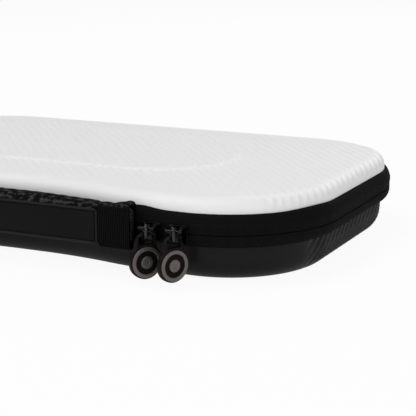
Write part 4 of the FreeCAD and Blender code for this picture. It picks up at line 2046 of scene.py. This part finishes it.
    def build(self) -> None:
        """Make and fit the handle."""
        sleeve = self.sleeve_piece()
        fit(sleeve, Body.BASE, "handle_fabric", "handle_sleeve", "handle_core")
        fit(self.patch_piece(), Body.BASE, "grip_rubber", "grip_patch")
        cut = ((self.loop_end - self.loop_start) * MM, run_lengths(self.loop_path())[-1] * MM)
        for side in Side:
            name = f"anchor_loop_{side.value}"
            loop = fit(self.loop_piece(side), Body.BASE, "webbing_black", name)


# Sliders, links and pulls


@dataclass
class SliderSet:
    """One zip slider with its crown, the wire link and the rubber pull with its badge."""

    side: Side
    place: Point
    wall_angle: float
    pull_angle: float
    crown_offset: float = 10.2
    stand_off: float = 3.45
    half_length: float = 4.51
    half_height: float = 4.0
    plate: float = 0.9
    plate_bevel: float = 0.3
    crown_height: float = 25.8
    crown_half: float = 3.71
    crown_wire: float = 0.8
    link_half: float = 3.25
    link_corner: float = 2.0
    link_length: float = 5.7
    link_wire: float = 0.75
    link_turn: float = -53.0
    link_low: float = 21.7
    tab_radius: float = 5.3
    tab_thickness: float = 2.6
    tab_foot: float = 6.0
    pull_top: float = 24.3
    pull_edge: float = 0.85
    pull_bevel: float = 0.22
    slot_half: float = 3.9
    slot_height: float = 4.0
    slot_bevel: float = 0.6
    disc_radius: float = 7.9
    disc_thickness: float = 3.2
    disc_centre: float = 10.4
    badge_radius: float = 7.2
    badge_back: float = 1.15
    badge_front: float = 2.05
    badge_rings: tuple[Point, ...] = (
        (5.65, 0.0), (5.45, 0.12), (5.35, 0.5), (2.95, 0.5), (2.85, 0.15), (2.65, 0.0),
        (1.3, 0.0), (1.1, 0.2), (0.0, 0.22),
    )

    def name(self, piece: str) -> str:
        """Name of a piece on this side."""
        return f"{piece}_{self.side.value}"

    def set_on_track(self, piece: Piece, turn: float = 0.0) -> Piece:
        """Turn a piece about the crown's upright, then set it on the track.

        Args:
            piece: Piece made about the upright at the crown.
            turn: Its turn in degrees.

        Returns:
            The piece.
        """
        crown = Matrix.Translation((0, -self.crown_offset * MM, 0))
        own = crown @ Matrix.Rotation(math.radians(turn), 4, "Z") @ crown.inverted()
        track = Matrix.Rotation(math.radians(self.wall_angle), 4, "Z")
        spot = Matrix.Translation((self.place[0] * MM, self.place[1] * MM, 0))
        return shaped(piece, spot @ track @ own)

    def block(
        self, name: str, half: float, depths: Point, half_high: float, bevel: float, steps: int = 3
    ) -> Piece:
        """Block of the slider, centred on the seam.

        Args:
            name: Name of the block.
            half: Half its length along the zip.
            depths: Places of its outer and its inner face.
            half_high: Half its height.
            bevel: Width of its bevel.
            steps: Faces across each bevel.

        Returns:
            The new piece.
        """
        low = (-half, depths[0], SIZES.seam - half_high)
        high = (half, depths[1], SIZES.seam + half_high)
        return rounded_box(name, low, high, bevel, steps)

    def slider_piece(self) -> Piece:
        """Slider: outer plate, waist through the seam, inner plate and crown."""
        face = self.stand_off + self.plate
        outer = (-face, -self.stand_off)
        plate = self.block("plate", self.half_length, outer, self.half_height, 0.05, 1)
        finish_modifier(
            plate, "BEVEL", width=self.plate_bevel * MM, segments=3, limit_method="ANGLE"
        )
        smooth(plate, 40)
        parts = [
            plate,
            self.block("boss", 3.2, (0.2 - face, -3.2), 1.6, 0.3),
            self.block("neck", 2.6, (-4.0, 1.3), 0.15, 0.05),
            self.block("inner", 4.0, (1.2, 2.4), 1.65, 0.5),
            tube("crown", self.crown_path(), self.crown_wire, False, 14),
        ]
        return self.set_on_track(join(self.name("slider"), parts))

    def crown_path(self) -> list[Vector]:
        """Centre line of the crown's wire, from one foot over the bar to the other."""
        half, out, foot = self.crown_half, self.crown_offset, self.stand_off + 0.2
        corners = [(-half, foot), (-half, out), (half, out), (half, foot)]
        line = softened(corners, 1.0, 5, closed=False)
        return [Vector((x, -y, self.crown_height)) for x, y in line]

    def link_piece(self) -> Piece:
        """Closed wire link that hangs on the crown."""
        small = self.link_corner
        low, high = self.link_low + small, self.link_low + self.link_length - small
        half = self.link_half - small
        path: list[Point] = []
        for turn, centre in enumerate(((half, low), (half, high), (-half, high), (-half, low))):
            path += quarter(centre, small, 90 * turn - 90, 90 * turn, 7)
        spots = [Vector((x, -self.crown_offset, z)) for x, z in path]
        link = tube(self.name("link"), spots, self.link_wire, True, 16)
        return self.set_on_track(link, self.link_turn)

    def pull_line(self) -> PlanLine:
        """Outline of the pull as seen from its face, with X across and Y up."""
        tab_y = self.pull_top - self.tab_radius - self.disc_centre
        meet = math.degrees(math.asin(self.tab_foot / self.disc_radius))
        foot_y = self.disc_radius * math.cos(math.radians(meet))
        side = Straight((self.tab_foot, foot_y), (self.tab_radius, tab_y))
        disc = Bend((0, 0), self.disc_radius, 90 + meet, 360 - 2 * meet)
        top = Bend((0, tab_y), self.tab_radius, 0, 180)
        return PlanLine([disc, side, top, *mirrored([side], flip_x=-1)])

    def pull_piece(self) -> Piece:
        """Moulded pull with a slot for the link and a seat for the badge."""
        line, edge = self.pull_line(), self.pull_edge
        section = quarter((-edge, 0), edge, -90, 90, 10)
        distances = line.steps(0.7)
        stations = [line.at(distance) for distance in distances]
        stations[-1] = stations[0]

        def place(column: int, row: int) -> Spot:
            """Place of one corner."""
            offset, rise = section[column]
            x, y = stations[row].moved(offset)
            share = smooth_step(4.5, 8.5, y)
            half = (self.disc_thickness * (1 - share) + self.tab_thickness * share) / 2
            side = (column > 5) - (column < 5)
            return x, y, (half - edge) * side + rise

        body = closed_up(woven_grid("body", len(section) - 1, len(distances) - 1, place))
        top = self.link_low + self.link_wire + SIZES.clearance - self.disc_centre
        low, high = (-self.slot_half, top - self.slot_height, -4), (self.slot_half, top, 4)
        slot = rounded_box("slot", low, high, 0.05, 1)
        angled = {"limit_method": "ANGLE"}
        finish_modifier(slot, "BEVEL", width=self.slot_bevel * MM, segments=3, **angled)
        radius, floor = self.badge_radius + SIZES.clearance, self.badge_back - SIZES.clearance
        seat = turned("seat", [(0.0, floor), (radius, floor), (radius, 4.0), (0.0, 4.0)], 64)
        for cutter in (slot, seat):
            cut = {"operation": "DIFFERENCE", "object": cutter, "solver": "EXACT"}
            finish_modifier(body, "BOOLEAN", **cut)
            bpy.data.objects.remove(cutter)
        angled["angle_limit"] = math.radians(50)
        finish_modifier(body, "BEVEL", width=self.pull_bevel * MM, segments=2, **angled)
        smooth(named(body, self.name("pull")), 40)
        return self.hung(body)

    def badge_piece(self) -> Piece:
        """Plain round badge with a raised rim, a channel and a raised centre."""
        radius, back, front = self.badge_radius, self.badge_back, self.badge_front
        section = [(0.0, back), (radius - 0.1, back), (radius, back + 0.1)]
        section += [(radius, front - 0.25), (radius - 0.2, front)]
        section += [(ring, front - drop) for ring, drop in self.badge_rings]
        return self.hung(turned(self.name("badge"), section, 72))

    def hung(self, piece: Piece) -> Piece:
        """Hang a piece that was made lying on its back from the crown, and turn it."""
        stood_up(piece, -self.crown_offset, self.disc_centre)
        return self.set_on_track(piece, self.pull_angle)

    def build(self) -> None:
        """Make and fit the slider, the link, the pull and its badge."""
        pull = Body(self.name("pull"))
        fit(self.slider_piece(), Body(self.name("slider")), "slider_metal", self.name("slider"))
        fit(self.link_piece(), Body(self.name("link")), "link_metal", self.name("link"))
        fit(self.pull_piece(), pull, "pull_rubber", self.name("pull"))
        fit(self.badge_piece(), pull, "badge_metal", self.name("badge"))


# Studio


@dataclass
class Studio:
    """Camera, pale floor and soft lamps."""

    place: Spot = (0.35162, -0.58866, 0.16628)
    heading: Point = (-0.43916, 0.89841)
    pitch: float = 13.13
    roll: float = -0.28
    lens: float = 112.25
    sensor: float = 36.0
    clip: Point = (0.02, 50.0)
    floor_size: float = 12.0
    floor_white: float = 0.86
    floor_seen: float = 0.93
    floor_mirrored: float = 0.35
    soft_light: float = 0.38
    aim: Spot = (0, 0, 0.02)
    lamps: tuple[tuple[str, Spot, float, float], ...] = (
        ("key", (-0.5, -0.5, 1.3), 0.9, 9.0),
        ("fill", (1.1, -0.7, 0.7), 0.8, 4.5),
        ("back", (0.1, 1.2, 0.9), 0.9, 5.0),
        ("front", (-0.1, -1.3, 0.3), 0.9, 1.8),
    )

    def camera(self) -> None:
        """Set the camera where the photograph was taken from."""
        data = bpy.data.cameras.new("camera")
        data.lens, data.sensor_width = self.lens, self.sensor
        data.clip_start, data.clip_end = self.clip
        camera = bpy.data.objects.new("camera", data)
        bpy.context.collection.objects.link(camera)
        down = math.radians(self.pitch)
        x, y = Vector(self.heading).normalized()
        ahead = Vector((x * math.cos(down), y * math.cos(down), -math.sin(down)))
        right = Vector((y, -x, 0))
        turn = Matrix((right, right.cross(ahead), -ahead)).transposed().to_4x4()
        roll = Matrix.Rotation(math.radians(self.roll), 4, "Z")
        camera.matrix_world = Matrix.Translation(self.place) @ turn @ roll
        bpy.context.scene.camera = camera

    def floor(self) -> None:
        """White floor that keeps the case's shadow."""
        deselect()
        bpy.ops.mesh.primitive_plane_add(size=self.floor_size)
        floor = named(bpy.context.object, "floor")
        bench = Bench(bpy.data.materials.new("floor_white"))
        white = bench.add("ShaderNodeBsdfDiffuse", {"Color": grey(self.floor_white)})
        glow = bench.add("ShaderNodeEmission", {"Color": grey(1.0), "Strength": 1.0})
        rays = bench.add("ShaderNodeLightPath")
        seen = bench.number(rays, "Is Camera Ray") * self.floor_seen
        seen = seen + bench.number(rays, "Is Glossy Ray") * self.floor_mirrored
        values = {0: seen, 1: white.outputs[0], 2: glow.outputs[0]}
        both = bench.add("ShaderNodeMixShader", values)
        bench.add("ShaderNodeOutputMaterial", {0: both.outputs[0]})
        floor.data.materials.append(bench.owner)

    def world(self) -> None:
        """White surroundings for the camera, and a soft grey light for all else."""
        world = bpy.data.worlds.new("studio")
        bpy.context.scene.world = world
        bench = Bench(world)
        light = [
            bench.add("ShaderNodeBackground", {"Color": grey(1.0), "Strength": strength})
            for strength in (self.soft_light, 1.0)
        ]
        rays = bench.add("ShaderNodeLightPath").outputs["Is Camera Ray"]
        values = {0: rays, 1: light[0].outputs[0], 2: light[1].outputs[0]}
        either = bench.add("ShaderNodeMixShader", values)
        bench.add("ShaderNodeOutputWorld", {0: either.outputs[0]})

    def lamp(self, name: str, place: Spot, size: float, power: float) -> None:
        """Add one soft square lamp that faces the case.

        Args:
            name: Name of the lamp.
            place: Where it hangs.
            size: Side of its panel.
            power: Its power in watts.
        """
        data = bpy.data.lights.new(name, "AREA")
        data.shape = "SQUARE"
        data.size = size
        data.energy = power
        lamp = bpy.data.objects.new(name, data)
        bpy.context.collection.objects.link(lamp)
        lamp.location = place
        lamp.rotation_mode = "QUATERNION"
        lamp.rotation_quaternion = (Vector(self.aim) - Vector(place)).to_track_quat("-Z", "Y")

    def build(self) -> None:
        """Set up the studio."""
        self.camera()
        self.floor()
        self.world()
        for lamp in self.lamps:
            self.lamp(*lamp)
        bpy.context.scene.view_settings.view_transform = "Standard"


def main() -> None:
    """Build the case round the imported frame."""
    logging.basicConfig(level=logging.INFO, format="%(name)s: %(message)s")
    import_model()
    Studio().build()
    FINISHES.make()
    right = SliderSet(Side.RIGHT, (93.0, -85.5), 0.0, 63.0)
    left = SliderSet(Side.LEFT, (79.4, -85.4517), -1.2033, 56.0)
    case = (BaseShell(), BaseInside(), ZipTapes(), LidShell(), LidInside(), CarryHandle())
    for assembly in (*case, right, left):
        assembly.build()
    deselect()


if __name__ == "__main__":
    main()
